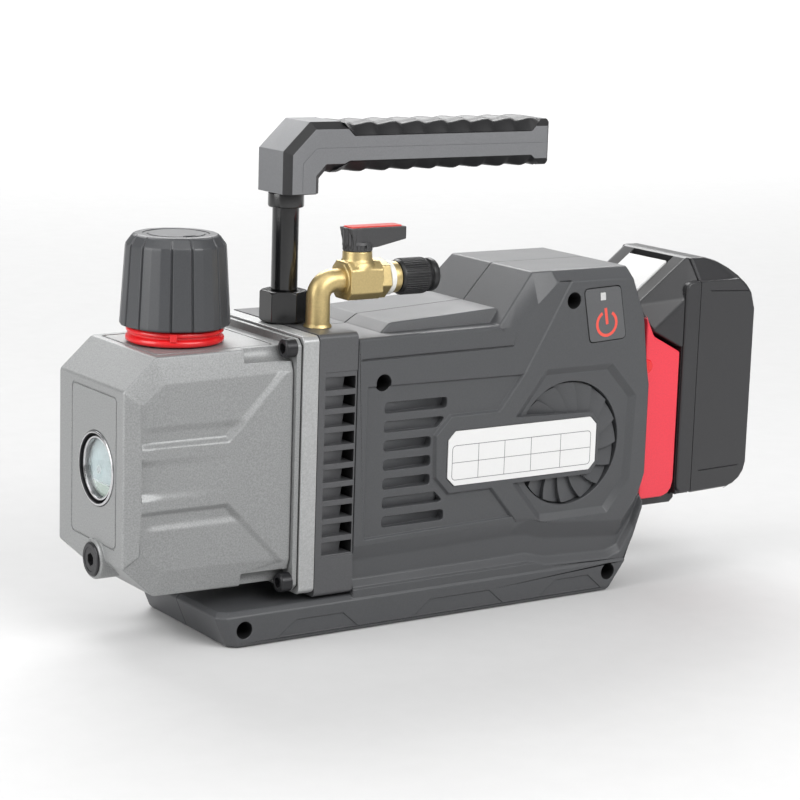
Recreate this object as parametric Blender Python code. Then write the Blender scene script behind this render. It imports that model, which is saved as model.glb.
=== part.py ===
"""Cordless two-stage rotary vane vacuum pump, built as separate named pieces.

Working dimensions are millimetres: X runs from the oil casing's front face
towards the battery, Y across the pump from its centre plane, and Z up from
the floor.  Every vertex is converted to metres and centred on the footprint.
"""

import math

import bmesh
import bpy

MM = 0.001
X_MIDDLE = 180.0

# Main stations along X
CASING_REAR = 86.6
FLANGE_FRONT = 87.2
FLANGE_REAR = 95.6
BRACKET_FRONT = 95.9
BRACKET_REAR = 117.0
HOUSING_FRONT = 117.4
HOUSING_REAR = 291.5
DOCK_FRONT = 291.9
BATTERY_REAR = 363.0

# Heights and half widths
SHAFT_Z = 82.5
FLANGE_HALF_WIDTH = 41.0
FLANGE_BOTTOM = 21.0
FLANGE_TOP = 143.0
BRACKET_BOTTOM = 18.6
BRACKET_TOP = 143.3
HOUSING_HALF_WIDTH = 41.0
PLINTH_HALF_WIDTH = 41.5
PARTING_GAP = 0.15
WALL = 2.6
DECK_Z = 140.0
HUMP_Z = 165.0

# Fill cap, sight glass and drain
FILL_X = 42.5
GLASS_Y = -6.0
GLASS_Z = 83.3
DRAIN_Y = -6.0
DRAIN_Z = 41.0

# Pump cartridge
BORE_RADIUS = 20.0
ROTOR_RADIUS = 17.0
BORE_RISE = 2.85
SHAFT_RADIUS = 6.0
VANE_THICKNESS = 3.0
VANE_DEPTH = 9.0

# Motor
MOTOR_SHAFT_RADIUS = 4.0
CAN_RADIUS = 28.4
RUNNING_GAP = 0.06

# Handle, valve and battery
HANDLE_X = 100.4
HANDLE_HALF_WIDTH = 14.5
VALVE_Y = -20.0
VALVE_Z = 164.5
VALVE_STEM_X = 128.0
BATTERY_HALF_WIDTH = 37.5

MATERIALS = {
    "cast_aluminium": (0.42, 0.42, 0.42),
    "bright_aluminium": (0.62, 0.62, 0.62),
    "dark_aluminium": (0.09, 0.09, 0.095),
    "black_steel": (0.02, 0.02, 0.02),
    "steel": (0.55, 0.55, 0.56),
    "cast_iron": (0.20, 0.20, 0.21),
    "housing_plastic": (0.10, 0.10, 0.105),
    "cap_plastic": (0.08, 0.08, 0.085),
    "grip_plastic": (0.16, 0.16, 0.165),
    "black_rubber": (0.02, 0.02, 0.02),
    "red_plastic": (0.75, 0.02, 0.03),
    "brass": (0.72, 0.50, 0.18),
    "glass": (0.80, 0.86, 0.86),
    "white_label": (0.85, 0.85, 0.83),
    "white_ptfe": (0.85, 0.85, 0.82),
    "battery_plastic": (0.035, 0.035, 0.038),
    "light_plastic": (0.72, 0.72, 0.72),
    "vane_composite": (0.12, 0.10, 0.07),
    "copper_windings": (0.45, 0.18, 0.08),
    "green_board": (0.03, 0.18, 0.06),
    "paper_gasket": (0.03, 0.03, 0.03),
}


def clear_scene():
    for old in list(bpy.data.objects):
        bpy.data.objects.remove(old, do_unlink=True)


def material(name):
    found = bpy.data.materials.get(name)
    if found is None:
        found = bpy.data.materials.new(name)
        red, green, blue = MATERIALS[name]
        found.diffuse_color = (red, green, blue, 1.0)
    return found


def point(x, y, z):
    return ((x - X_MIDDLE) * MM, y * MM, z * MM)


def make_object(name, vertices, faces, slot=None):
    """A closed mesh object with its faces turned outward."""
    mesh = bpy.data.meshes.new(name)
    mesh.from_pydata([point(*vertex) for vertex in vertices], [], faces)
    work = bmesh.new()
    work.from_mesh(mesh)
    bmesh.ops.recalc_face_normals(work, faces=work.faces)
    work.to_mesh(mesh)
    work.free()
    made = bpy.data.objects.new(name, mesh)
    bpy.context.collection.objects.link(made)
    if slot:
        mesh.materials.append(material(slot))
    else:
        made.hide_render = True
        made.display_type = "WIRE"
    return made


def loft(name, loops, slot=None):
    """Solid through closed loops that all have the same number of points."""
    count = len(loops[0])
    vertices = [vertex for loop in loops for vertex in loop]
    faces = [list(range(count))]
    for row in range(len(loops) - 1):
        start = row * count
        for i in range(count):
            j = (i + 1) % count
            faces.append([start + i, start + j, start + count + j, start + count + i])
    last = (len(loops) - 1) * count
    faces.append([last + i for i in range(count)])
    return make_object(name, vertices, faces, slot)


def prism_x(name, outline, x0, x1, slot=None):
    loops = [[(x, y, z) for y, z in outline] for x in (x0, x1)]
    return loft(name, loops, slot)


def prism_y(name, outline, y0, y1, slot=None):
    loops = [[(x, y, z) for x, z in outline] for y in (y0, y1)]
    return loft(name, loops, slot)


def prism_z(name, outline, z0, z1, slot=None):
    loops = [[(x, y, z) for x, y in outline] for z in (z0, z1)]
    return loft(name, loops, slot)


def box(name, xs, ys, zs, slot=None):
    outline = [(xs[0], ys[0]), (xs[1], ys[0]), (xs[1], ys[1]), (xs[0], ys[1])]
    return prism_z(name, outline, zs[0], zs[1], slot)


def circle(radius, count, turn=0.0):
    step = 2.0 * math.pi / count
    return [(radius * math.cos(i * step + turn), radius * math.sin(i * step + turn)) for i in range(count)]


def axis_point(axis, centre, u, v, along):
    """A point beside an axis: u and v across it, along measured on that axis."""
    cx, cy, cz = centre
    if axis == "X":
        return (along, cy + u, cz + v)
    if axis == "Y":
        return (cx + u, along, cz + v)
    return (cx + u, cy + v, along)


def turned(name, axis, centre, profile, count=32, slot=None, turn=0.0):
    """Solid of revolution: profile is (radius, along) from one end to the other."""
    loops = []
    for radius, along in profile:
        ring = circle(radius, count, turn)
        loops.append([axis_point(axis, centre, u, v, along) for u, v in ring])
    return loft(name, loops, slot)


def tube(name, axis, centre, outer, inner, start, end, count=32, slot=None):
    """Ring with a plain bore."""
    profile = [(inner, start), (outer, start), (outer, end), (inner, end)]
    return ring_solid(name, axis, centre, profile, count, slot)


def ring_solid(name, axis, centre, profile, count=32, slot=None):
    """Revolved closed profile that stays clear of the axis."""
    vertices = []
    faces = []
    size = len(profile)
    for i in range(count):
        angle = 2.0 * math.pi * i / count
        for radius, along in profile:
            u = radius * math.cos(angle)
            v = radius * math.sin(angle)
            vertices.append(axis_point(axis, centre, u, v, along))
    for i in range(count):
        j = (i + 1) % count
        for k in range(size):
            m = (k + 1) % size
            faces.append([i * size + k, i * size + m, j * size + m, j * size + k])
    return make_object(name, vertices, faces, slot)


def hull(name, points, slot=None):
    """Convex solid around the given points."""
    made = make_object(name, points, [], slot)
    work = bmesh.new()
    work.from_mesh(made.data)
    result = bmesh.ops.convex_hull(work, input=work.verts)
    loose = [item for item in result["geom_interior"] if isinstance(item, bmesh.types.BMVert)]
    bmesh.ops.delete(work, geom=loose, context="VERTS")
    bmesh.ops.recalc_face_normals(work, faces=work.faces)
    work.to_mesh(made.data)
    work.free()
    return made


def boolean(target, other, operation):
    modifier = target.modifiers.new(other.name, "BOOLEAN")
    modifier.object = other
    modifier.operation = operation
    modifier.solver = "EXACT"


def cut(target, *cutters):
    for cutter in cutters:
        boolean(target, cutter, "DIFFERENCE")


def add(target, *pieces):
    for piece in pieces:
        boolean(target, piece, "UNION")


def mirrored(outline):
    """Close a right-hand outline with its own mirror image about zero."""
    return outline + [(-u, v) for u, v in reversed(outline)]


def chamfered(u0, u1, v0, v1, size):
    """Rectangle with cut corners."""
    return [
        (u0 + size, v0),
        (u1 - size, v0),
        (u1, v0 + size),
        (u1, v1 - size),
        (u1 - size, v1),
        (u0 + size, v1),
        (u0, v1 - size),
        (u0, v0 + size),
    ]


def hexagon(radius):
    return circle(radius, 6, math.pi / 6.0)


# ---------------------------------------------------------------- oil casing

SCREW_Y = 36.4
SCREW_RISE = 55.3


def casing_corners():
    return [(sy * SCREW_Y, SHAFT_Z + sz * SCREW_RISE) for sy in (-1, 1) for sz in (1, -1)]


def casing_outline(half_face, half_side, side_rise, top_half, top_rise):
    """Eight-sided section of the casing, symmetric about its centre line."""
    upper = [(half_side, side_rise), (top_half, top_rise)]
    quarter = [(y, SHAFT_Z + z) for y, z in upper]
    lower = [(y, SHAFT_Z - z) for y, z in reversed(upper)]
    return quarter + [(-y, z) for y, z in reversed(quarter)] + [(-y, z) for y, z in reversed(lower)] + lower


def build_oil_casing():
    shell = []
    for sy in (-1, 1):
        for sz in (-1, 1):
            shell.append((0.0, sy * 30.5, SHAFT_Z + sz * 40.5))
            shell.append((7.5, sy * 35.6, SHAFT_Z + sz * 34.0))
            shell.append((19.5, sy * 36.0, SHAFT_Z + sz * 43.2))
            shell.append((16.0, sy * 32.0, SHAFT_Z + sz * 55.0))
            shell.append((CASING_REAR, sy * 37.2, SHAFT_Z + sz * 44.2))
            shell.append((CASING_REAR, sy * 33.0, SHAFT_Z + sz * 55.8))
    casing = hull("oil_casing", shell, "cast_aluminium")
    rim = prism_x("rim_solid", chamfered(-40.0, 40.0, 23.0, 142.0, 3.0), 84.4, CASING_REAR)
    boss = turned("boss_solid", "X", (0, DRAIN_Y, DRAIN_Z), [(8.6, -2.0), (9.3, -1.2), (9.3, 30.0)], 32)
    inside = []
    for sy in (-1, 1):
        for sz in (-1, 1):
            inside.append((5.0, sy * 26.0, SHAFT_Z + sz * 35.0))
            inside.append((20.0, sy * 32.0, SHAFT_Z + sz * 39.0))
            inside.append((20.0, sy * 28.0, SHAFT_Z + sz * 50.5))
            inside.append((CASING_REAR + 5, sy * 32.5, SHAFT_Z + sz * 39.5))
            inside.append((CASING_REAR + 5, sy * 28.5, SHAFT_Z + sz * 50.5))
    cavity = hull("casing_cavity", inside)
    add(casing, rim, boss)
    cut(casing, cavity)
    for side in (-1, 1):
        y0, y1 = sorted((side * 34.4, side * 45.0))
        upper = [(10.0, 121.5), (21.0, 123.8), (76.0, 124.6), (59.5, 104.5), (51.5, 95.8), (8.0, 95.5)]
        lower = [(x, 2 * SHAFT_Z - z) for x, z in upper]
        cut(casing, prism_y(f"panel_upper{side}", upper, y0, y1))
        cut(casing, prism_y(f"panel_lower{side}", lower, y0, y1))
    face = chamfered(-24.5, 24.5, SHAFT_Z - 35.5, SHAFT_Z + 35.5, 4.0)
    inner_face = chamfered(-23.7, 23.7, SHAFT_Z - 34.7, SHAFT_Z + 34.7, 3.6)
    groove = prism_x("face_groove", face, -3.0, 0.8)
    cut(groove, prism_x("face_groove_island", inner_face, -5.0, 3.0))
    island_keep = turned("glass_pad", "X", (0, GLASS_Y, GLASS_Z), [(19.0, -6.0), (19.0, 4.0)], 40)
    boss_keep = turned("boss_pad", "X", (0, DRAIN_Y, DRAIN_Z), [(11.0, -6.0), (11.0, 4.0)], 40)
    cut(groove, island_keep, boss_keep)
    cut(casing, groove)
    glass = (0, GLASS_Y, GLASS_Z)
    cut(casing, turned("glass_seat", "X", glass, [(17.6, -3.0), (17.6, 4.0)], 40))
    cut(casing, turned("glass_hole", "X", glass, [(13.2, -3.0), (13.2, 12.0)], 40))
    drain = (0, DRAIN_Y, DRAIN_Z)
    cut(casing, turned("drain_hole", "X", drain, [(5.2, -8.0), (5.2, 22.0)], 24))
    fill = (FILL_X, 0, 0)
    cut(casing, turned("fill_hole", "Z", fill, [(15.2, 120.0), (15.2, 150.0)], 32))
    for index, (y, z) in enumerate(casing_corners()):
        pocket = turned(f"screw_pocket{index}", "X", (0, y, z), [(5.3, 70.0), (5.3, 84.4)], 24)
        hole = turned(f"screw_hole{index}", "X", (0, y, z), [(3.3, 70.0), (3.3, 95.0)], 16)
        cut(casing, pocket, hole)
    return casing


def build_casing_fittings():
    glass = (0, GLASS_Y, GLASS_Z)
    profile = [(13.4, -0.6), (16.6, -0.6), (17.3, 0.0), (17.3, 3.8), (13.4, 3.8)]
    ring_solid("sight_glass_ring", "X", glass, profile, 40, "steel")
    turned("sight_glass", "X", glass, [(13.0, 1.2), (13.0, 8.5)], 40, "glass")
    drain = (0, DRAIN_Y, DRAIN_Z)
    plug = turned(
        "drain_plug",
        "X",
        drain,
        [(7.4, -3.0), (8.0, -2.4), (8.0, -2.1), (4.9, -2.1), (4.9, 12.0)],
        32,
        "black_steel",
    )
    socket = prism_x("plug_socket", [(DRAIN_Y + u, DRAIN_Z + v) for u, v in hexagon(2.9)], -6.0, 1.5)
    cut(plug, socket)
    outline = chamfered(-40.0, 40.0, 23.0, 142.0, 3.0)
    gasket = prism_x("casing_gasket", outline, CASING_REAR + 0.02, FLANGE_FRONT - 0.02, "paper_gasket")
    inner = prism_x("gasket_hole", chamfered(-34.0, 34.0, 31.0, 134.0, 8.0), 80.0, 95.0)
    cut(gasket, inner)
    for index, (y, z) in enumerate(casing_corners()):
        hole = turned(f"gasket_screw_hole{index}", "X", (0, y, z), [(3.3, 80.0), (3.3, 95.0)], 16)
        cut(gasket, hole)
        build_socket_screw(f"casing_screw_{index + 1}", y, z)


def build_socket_screw(name, y, z):
    profile = [(4.1, 78.4), (4.5, 78.9), (4.5, 84.3), (3.0, 84.3), (3.0, 93.4)]
    screw = turned(name, "X", (0, y, z), profile, 24, "black_steel")
    socket = prism_x(f"{name}_socket", [(y + u, z + v) for u, v in hexagon(2.6)], 76.0, 81.5)
    cut(screw, socket)


def build_fill_cap():
    fill = (FILL_X, 0, 0)
    collar_profile = [
        (10.6, 126.0),
        (14.8, 126.0),
        (14.8, 138.3),
        (22.8, 138.3),
        (22.8, 141.0),
        (21.6, 141.8),
        (21.6, 145.0),
        (18.5, 145.5),
        (10.6, 145.5),
    ]
    ring_solid("fill_collar", "Z", fill, collar_profile, 36, "red_plastic")
    facets = 12
    loops = []
    for radius, z in ((24.6, 145.9), (25.3, 147.4), (23.0, 182.6), (19.4, 187.9)):
        ring = circle(radius, facets, math.pi / facets)
        loops.append([(FILL_X + u, v, z) for u, v in ring])
    cap = loft("fill_cap", loops, "cap_plastic")
    neck = tube("cap_neck", "Z", fill, 10.3, 7.0, 130.0, 150.0, 32)
    passage = turned("cap_passage", "Z", fill, [(7.0, 140.0), (7.0, 172.0)], 24)
    chamber = turned("cap_chamber", "Z", fill, [(16.5, 152.0), (16.5, 182.0)], 32)
    dish = turned("cap_dish", "Z", fill, [(13.0, 186.6), (13.0, 195.0)], 32)
    hub = turned("cap_hub", "Z", fill, [(10.0, 185.4), (10.0, 187.7)], 32)
    cut(cap, chamber, dish)
    add(cap, hub, neck)
    cut(cap, passage)
    for i in range(facets):
        angle = 2.0 * math.pi * i / facets
        vent = box(f"cap_vent{i}", (14.0, 30.0), (-1.2, 1.2), (145.0, 153.0))
        for vertex in vent.data.vertices:
            x = vertex.co.x + X_MIDDLE * MM
            y = vertex.co.y
            vertex.co.x = x * math.cos(angle) - y * math.sin(angle) + (FILL_X - X_MIDDLE) * MM
            vertex.co.y = x * math.sin(angle) + y * math.cos(angle)
        if i % 3 == 0:
            cut(cap, vent)
        else:
            bpy.data.objects.remove(vent, do_unlink=True)
    tube("exhaust_baffle", "Z", fill, 15.8, 8.0, 153.0, 180.0, 32, "light_plastic")


# ------------------------------------------------------------ pump cartridge


def stator(name, x0, x1, wall_x=None):
    """Round pump body with an offset bore, and an end wall from wall_x to x1."""
    body = turned(name, "X", (0, 0, SHAFT_Z), [(28.0, x0), (28.0, x1)], 48, "cast_iron")
    bore_end = wall_x if wall_x else x1 + 5.0
    bore = turned(
        f"{name}_bore",
        "X",
        (0, 0, SHAFT_Z + BORE_RISE),
        [(BORE_RADIUS, x0 - 5.0), (BORE_RADIUS, bore_end)],
        64,
    )
    cut(body, bore)
    if wall_x:
        hole_profile = [(SHAFT_RADIUS + RUNNING_GAP, x0 - 6.0), (SHAFT_RADIUS + RUNNING_GAP, x1 + 5.0)]
        cut(body, turned(f"{name}_shaft_hole", "X", (0, 0, SHAFT_Z), hole_profile, 48))
    port = turned(f"{name}_port", "Z", (0.5 * (x0 + x1) - 2.0, 12.0, 0), [(3.0, 95.0), (3.0, 120.0)], 16)
    cut(body, port)
    return body


def rotor(name, x0, x1, with_shaft):
    """Slotted rotor; its two slots hold the vanes."""
    profile = [(ROTOR_RADIUS, x0), (ROTOR_RADIUS, x1)]
    if with_shaft:
        profile = [
            (SHAFT_RADIUS, 34.0),
            (SHAFT_RADIUS, x0),
            (ROTOR_RADIUS, x0),
            (ROTOR_RADIUS, x1),
            (SHAFT_RADIUS, x1),
            (SHAFT_RADIUS, 105.0),
        ]
    body = turned(name, "X", (0, 0, SHAFT_Z), profile, 48, "steel")
    half = 0.5 * VANE_THICKNESS + 0.08
    inner = ROTOR_RADIUS - VANE_DEPTH - 0.3
    for side in (-1, 1):
        z0, z1 = sorted((SHAFT_Z + side * inner, SHAFT_Z + side * 25.0))
        slot = box(f"{name}_slot{side}", (x0 - 1.0, x1 + 1.0), (-half, half), (z0, z1))
        cut(body, slot)
    if not with_shaft:
        hole = [(SHAFT_RADIUS + 0.02, x0 - 1.0), (SHAFT_RADIUS + 0.02, x1 + 1.0)]
        cut(body, turned(f"{name}_hole", "X", (0, 0, SHAFT_Z), hole, 48))
    return body


def vanes(stage, x0, x1):
    tip = ROTOR_RADIUS - 0.15
    for label, side in (("a", 1), ("b", -1)):
        z0, z1 = sorted((SHAFT_Z + side * (tip - VANE_DEPTH), SHAFT_Z + side * tip))
        half = 0.5 * VANE_THICKNESS
        box(f"{stage}_vane_{label}", (x0 + 0.1, x1 - 0.1), (-half, half), (z0, z1), "vane_composite")


def build_cartridge():
    stator("low_stage_stator", 60.0, FLANGE_FRONT - 0.05)
    stator("high_stage_stator", 38.0, 59.8, wall_x=54.0)
    rotor("low_stage_rotor", 60.3, 86.8, True)
    rotor("high_stage_rotor", 38.3, 53.7, False)
    vanes("low_stage", 60.3, 86.8)
    vanes("high_stage", 38.3, 53.7)
    cover_profile = [(28.0, 31.0), (28.0, 37.8)]
    cover = turned("cartridge_cover", "X", (0, 0, SHAFT_Z), cover_profile, 48, "cast_iron")
    hole = [(SHAFT_RADIUS + RUNNING_GAP, 33.5), (SHAFT_RADIUS + RUNNING_GAP, 40.0)]
    cut(cover, turned("cover_hole", "X", (0, 0, SHAFT_Z), hole, 48))


def build_flange():
    outline = chamfered(-FLANGE_HALF_WIDTH, FLANGE_HALF_WIDTH, FLANGE_BOTTOM, FLANGE_TOP, 2.0)
    plate = prism_x("flange_plate", outline, FLANGE_FRONT, FLANGE_REAR, "bright_aluminium")
    hole = [(SHAFT_RADIUS + RUNNING_GAP, 80.0), (SHAFT_RADIUS + RUNNING_GAP, 100.0)]
    cut(plate, turned("flange_shaft_hole", "X", (0, 0, SHAFT_Z), hole, 48))
    cut(plate, turned("flange_seal_seat", "X", (0, 0, SHAFT_Z), [(12.0, 90.0), (12.0, 100.0)], 32))
    for index, (y, z) in enumerate(casing_corners()):
        thread = turned(f"flange_thread{index}", "X", (0, y, z), [(3.1, 80.0), (3.1, 94.0)], 16)
        cut(plate, thread)
    seal_profile = [(SHAFT_RADIUS + RUNNING_GAP, 90.4), (11.8, 90.4), (11.8, 95.4), (SHAFT_RADIUS + RUNNING_GAP, 95.4)]
    ring_solid("shaft_seal", "X", (0, 0, SHAFT_Z), seal_profile, 48, "black_rubber")


def build_bracket():
    """Finned bracket between the pump and the motor, with ten air windows a side."""
    outline = chamfered(-40.6, 40.6, BRACKET_BOTTOM, BRACKET_TOP, 2.5)
    bracket = prism_x("finned_bracket", outline, BRACKET_FRONT, BRACKET_REAR, "dark_aluminium")
    hollow = chamfered(-33.0, 33.0, 32.0, 130.0, 6.0)
    cut(bracket, prism_x("bracket_hollow", hollow, 90.0, 125.0))
    pitch = 8.72
    for side in (-1, 1):
        y0, y1 = sorted((side * 30.0, side * 45.0))
        for i in range(10):
            low = 38.2 + i * pitch
            window = box(f"window{side}_{i}", (98.6, 114.4), (y0, y1), (low, low + 6.0))
            cut(bracket, window)
    rod_hole = turned("rod_hole", "Z", (HANDLE_X + 6.0, 0, 0), [(5.0, 134.0), (5.0, 150.0)], 24)
    cut(bracket, rod_hole)
    inlet = turned("inlet_hole", "Z", (107.0, VALVE_Y, 0), [(4.6, 133.0), (4.6, 150.0)], 24)
    cut(bracket, inlet)


# ---------------------------------------------------------------- drive side


def build_drive():
    centre = (0, 0, SHAFT_Z)
    coupling = turned("shaft_coupling", "X", centre, [(11.0, 97.0), (12.0, 98.0), (12.0, 113.0), (11.0, 114.0)], 24,
                      "bright_aluminium")
    cut(coupling, turned("coupling_pump_hole", "X", centre, [(SHAFT_RADIUS + 0.02, 90.0), (SHAFT_RADIUS + 0.02, 105.3)], 48))
    shaft_hole = [(MOTOR_SHAFT_RADIUS + 0.02, 100.0), (MOTOR_SHAFT_RADIUS + 0.02, 120.0)]
    cut(coupling, turned("coupling_motor_hole", "X", centre, shaft_hole, 32))
    can = turned("motor_can", "X", centre, [(CAN_RADIUS - 1.5, 121.0), (CAN_RADIUS, 122.5), (CAN_RADIUS, 200.0)], 48,
                 "black_steel")
    cut(can, turned("can_hollow", "X", centre, [(21.1, 128.0), (21.1, 195.0)], 48))
    for name, x0, x1 in (("front_bearing_seat", 110.0, 127.5), ("rear_bearing_seat", 195.5, 210.0)):
        cut(can, turned(name, "X", centre, [(11.0, x0), (11.0, x1)], 32))
    cut(can, turned("can_shaft_hole", "X", centre, [(6.0, 100.0), (6.0, 220.0)], 24))
    for name, x0 in (("front_bearing", 122.2), ("rear_bearing", 195.8)):
        inner = MOTOR_SHAFT_RADIUS + RUNNING_GAP
        profile = [(inner, x0), (10.9, x0), (10.9, x0 + 5.0), (inner, x0 + 5.0)]
        ring_solid(name, "X", centre, profile, 32, "steel")
    rotor_profile = [
        (MOTOR_SHAFT_RADIUS, 106.0),
        (MOTOR_SHAFT_RADIUS, 133.0),
        (20.5, 133.0),
        (20.5, 190.0),
        (MOTOR_SHAFT_RADIUS, 190.0),
        (MOTOR_SHAFT_RADIUS, 220.0),
    ]
    turned("motor_rotor", "X", centre, rotor_profile, 32, "copper_windings")
    build_fan()


def build_fan():
    blades = 9
    hub = turned("cooling_fan", "X", (0, 0, SHAFT_Z), [(10.0, 204.0), (10.0, 218.0)], 24, "cap_plastic")
    for i in range(blades):
        angle = 2.0 * math.pi * i / blades
        blade = []
        for radius in (8.0, 27.0):
            for spread, x0 in ((-0.10, 205.0), (0.10, 217.0)):
                for thick in (-0.9, 0.9):
                    a = angle + spread
                    u = radius * math.cos(a) - thick * math.sin(a)
                    v = radius * math.sin(a) + thick * math.cos(a)
                    blade.append((x0, u, SHAFT_Z + v))
        add(hub, hull(f"fan_blade{i}", blade))
    hole = [(MOTOR_SHAFT_RADIUS + 0.02, 200.0), (MOTOR_SHAFT_RADIUS + 0.02, 230.0)]
    cut(hub, turned("fan_hole", "X", (0, 0, SHAFT_Z), hole, 32))


# ------------------------------------------------------------------- housing


def housing_section(x, side, top, top_half, shoulder, waist_top, foot, bottom, inset=0.0):
    """Half section of the housing body, from the parting plane round the outside."""
    half = HOUSING_HALF_WIDTH - inset
    waist = half - 2.6
    start = PARTING_GAP if inset == 0.0 else -2.0
    section = [
        (start, top - inset),
        (top_half - inset, top - inset),
        (half, shoulder - inset),
        (half, waist_top + inset),
        (waist, waist_top - 9.0 + inset),
        (waist, foot + 3.5 + inset),
        (half - 0.3, foot + inset),
        (half - 0.3, bottom + inset),
        (start, bottom + inset),
    ]
    return [(x, side * y, z) for y, z in section]


HOUSING_STATIONS = [
    # x, top, top half width, shoulder, waist top, foot, bottom
    (HOUSING_FRONT, DECK_Z, 39.4, 138.6, 42.0, 20.5, 8.0),
    (198.0, 140.8, 39.0, 138.8, 43.4, 20.8, 8.0),
    (209.0, 153.0, 37.0, 138.4, 43.5, 20.9, 8.0),
    (220.0, HUMP_Z, 34.5, 148.5, 43.0, 21.0, 8.0),
    (231.5, HUMP_Z, 34.5, 159.8, 40.0, 18.0, 8.0),
    (270.0, HUMP_Z, 34.5, 159.8, 36.5, 16.5, 8.0),
    (278.0, HUMP_Z, 34.5, 159.5, 36.0, 19.0, 9.5),
    (286.0, 141.5, 37.5, 139.5, 46.0, 31.0, 26.0),
    (289.5, 114.5, 39.0, 113.0, 54.0, 40.0, 36.0),
    (HOUSING_REAR, 105.0, 39.5, 104.0, 60.0, 44.0, 41.0),
]


def plinth_solid(name, side):
    """Base plinth with a bevelled upper edge and an upswept rear."""
    rows = ((0.0, 1.2, 270.0), (1.4, 0.0, 271.5), (15.2, 0.0, 281.5), (17.2, 1.8, 281.5))
    loops = []
    for z, inset, rear in rows:
        front = 38.5 + inset
        edge = PLINTH_HALF_WIDTH - inset
        corners = [(front, PARTING_GAP), (front, 27.5), (50.5, edge), (rear, edge), (rear, PARTING_GAP)]
        loops.append([(x, side * y, z) for x, y in corners])
    return loft(name, loops)


LABEL_OUTLINE = [
    (173.5, 91.3),
    (169.3, 87.2),
    (169.3, 68.6),
    (173.5, 64.5),
    (254.8, 64.5),
    (258.6, 68.4),
    (258.6, 87.4),
    (254.8, 91.3),
]
BUTTON_OUTLINE = [(247.4, 155.4), (252.4, 128.8), (274.6, 129.8), (269.6, 156.2)]
OCTAGON = [
    (211.0, 97.5),
    (227.0, 116.3),
    (266.8, 116.3),
    (281.5, 100.0),
    (280.5, 58.0),
    (267.5, 41.5),
    (226.0, 41.5),
    (212.0, 60.5),
]
FAN_CENTRE = (243.0, 78.6)
FAN_RADIUS = 31.2
HOUSING_SCREWS = [(131.9, 118.1), (241.5, 150.4), (270.2, 9.8), (58.5, 8.3)]
SCREW_RECESS_RADIUS = 4.1


def side_cut(name, outline, side, depth, outside=6.0):
    """Pocket in the flat side of a housing half, measured from its surface."""
    y0, y1 = sorted((side * (HOUSING_HALF_WIDTH - depth), side * (HOUSING_HALF_WIDTH + outside)))
    return prism_y(name, outline, y0, y1)


def slanted_bar(p, q, width):
    """Outline of a bar between two points in a side view."""
    dx = q[0] - p[0]
    dz = q[1] - p[1]
    length = math.hypot(dx, dz)
    nx = -dz / length * width * 0.5
    nz = dx / length * width * 0.5
    return [(p[0] + nx, p[1] + nz), (q[0] + nx, q[1] + nz), (q[0] - nx, q[1] - nz), (p[0] - nx, p[1] - nz)]


def build_side_details(half, side, tag):
    panel = [
        (123.0, 117.0),
        (213.8, 116.2),
        (199.0, 98.4),
        (171.0, 98.4),
        (162.6, 89.8),
        (163.0, 69.4),
        (170.6, 61.0),
        (196.0, 61.0),
        (210.5, 44.0),
        (123.0, 42.5),
    ]
    cut(half, side_cut(f"{tag}_panel", panel, side, 1.1))
    cut(half, side_cut(f"{tag}_groove_up", slanted_bar((238.5, 157.0), (201.0, 100.5), 2.2), side, 1.7))
    cut(half, side_cut(f"{tag}_groove_down", slanted_bar((196.5, 60.5), (231.0, 20.0), 2.2), side, 1.7))
    cut(half, side_cut(f"{tag}_octagon", OCTAGON, side, 0.9))
    for i in range(7):
        top = 108.2 - i * 9.2
        right = 169.0 if i in (0, 1, 5, 6) else 160.4
        slot = [(133.5, top), (right, top), (right, top - 5.0), (133.5, top - 5.0)]
        if i == 1:
            slot[2] = (right - 5.0, top - 5.0)
        if i == 5:
            slot[1] = (right - 5.0, top)
        cut(half, side_cut(f"{tag}_vent{i}", slot, side, 8.0))
    build_grille(half, side, tag)
    for i, (x0, x1) in enumerate(((76.0, 120.5), (151.5, 205.0), (227.0, 266.0))):
        relief = [(x0, 2.4), (x0 + 10.5, 9.6), (x1 - 8.5, 9.6), (x1, 2.4)]
        y0, y1 = sorted((side * (PLINTH_HALF_WIDTH - 0.5), side * 50.0))
        cut(half, prism_y(f"{tag}_relief{i}", relief, y0, y1))


def build_grille(half, side, tag):
    """Round turbine grille: a shallow dish pierced by swept slots."""
    cx, cz = FAN_CENTRE
    dish = turned(f"{tag}_grille_dish", "Y", (cx, 0, cz), sorted_along(FAN_RADIUS, side, 39.2, 50.0), 48)
    cut(half, dish)
    blades = 17
    for i in range(blades):
        angle = 2.0 * math.pi * (i + 0.3) / blades
        outer = []
        inner = []
        for step in range(4):
            radius = 13.0 + step * 5.6
            sweep = angle + 0.22 * (step / 3.0) ** 2
            outer.append((cx + radius * math.cos(sweep), cz + radius * math.sin(sweep)))
            close = sweep + 1.5 / radius
            inner.append((cx + radius * math.cos(close), cz + radius * math.sin(close)))
        cut(half, side_cut(f"{tag}_swept{i}", outer + inner[::-1], side, 8.0))


def sorted_along(radius, side, a, b):
    low, high = sorted((side * a, side * b))
    return [(radius, low), (radius, high)]


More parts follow.
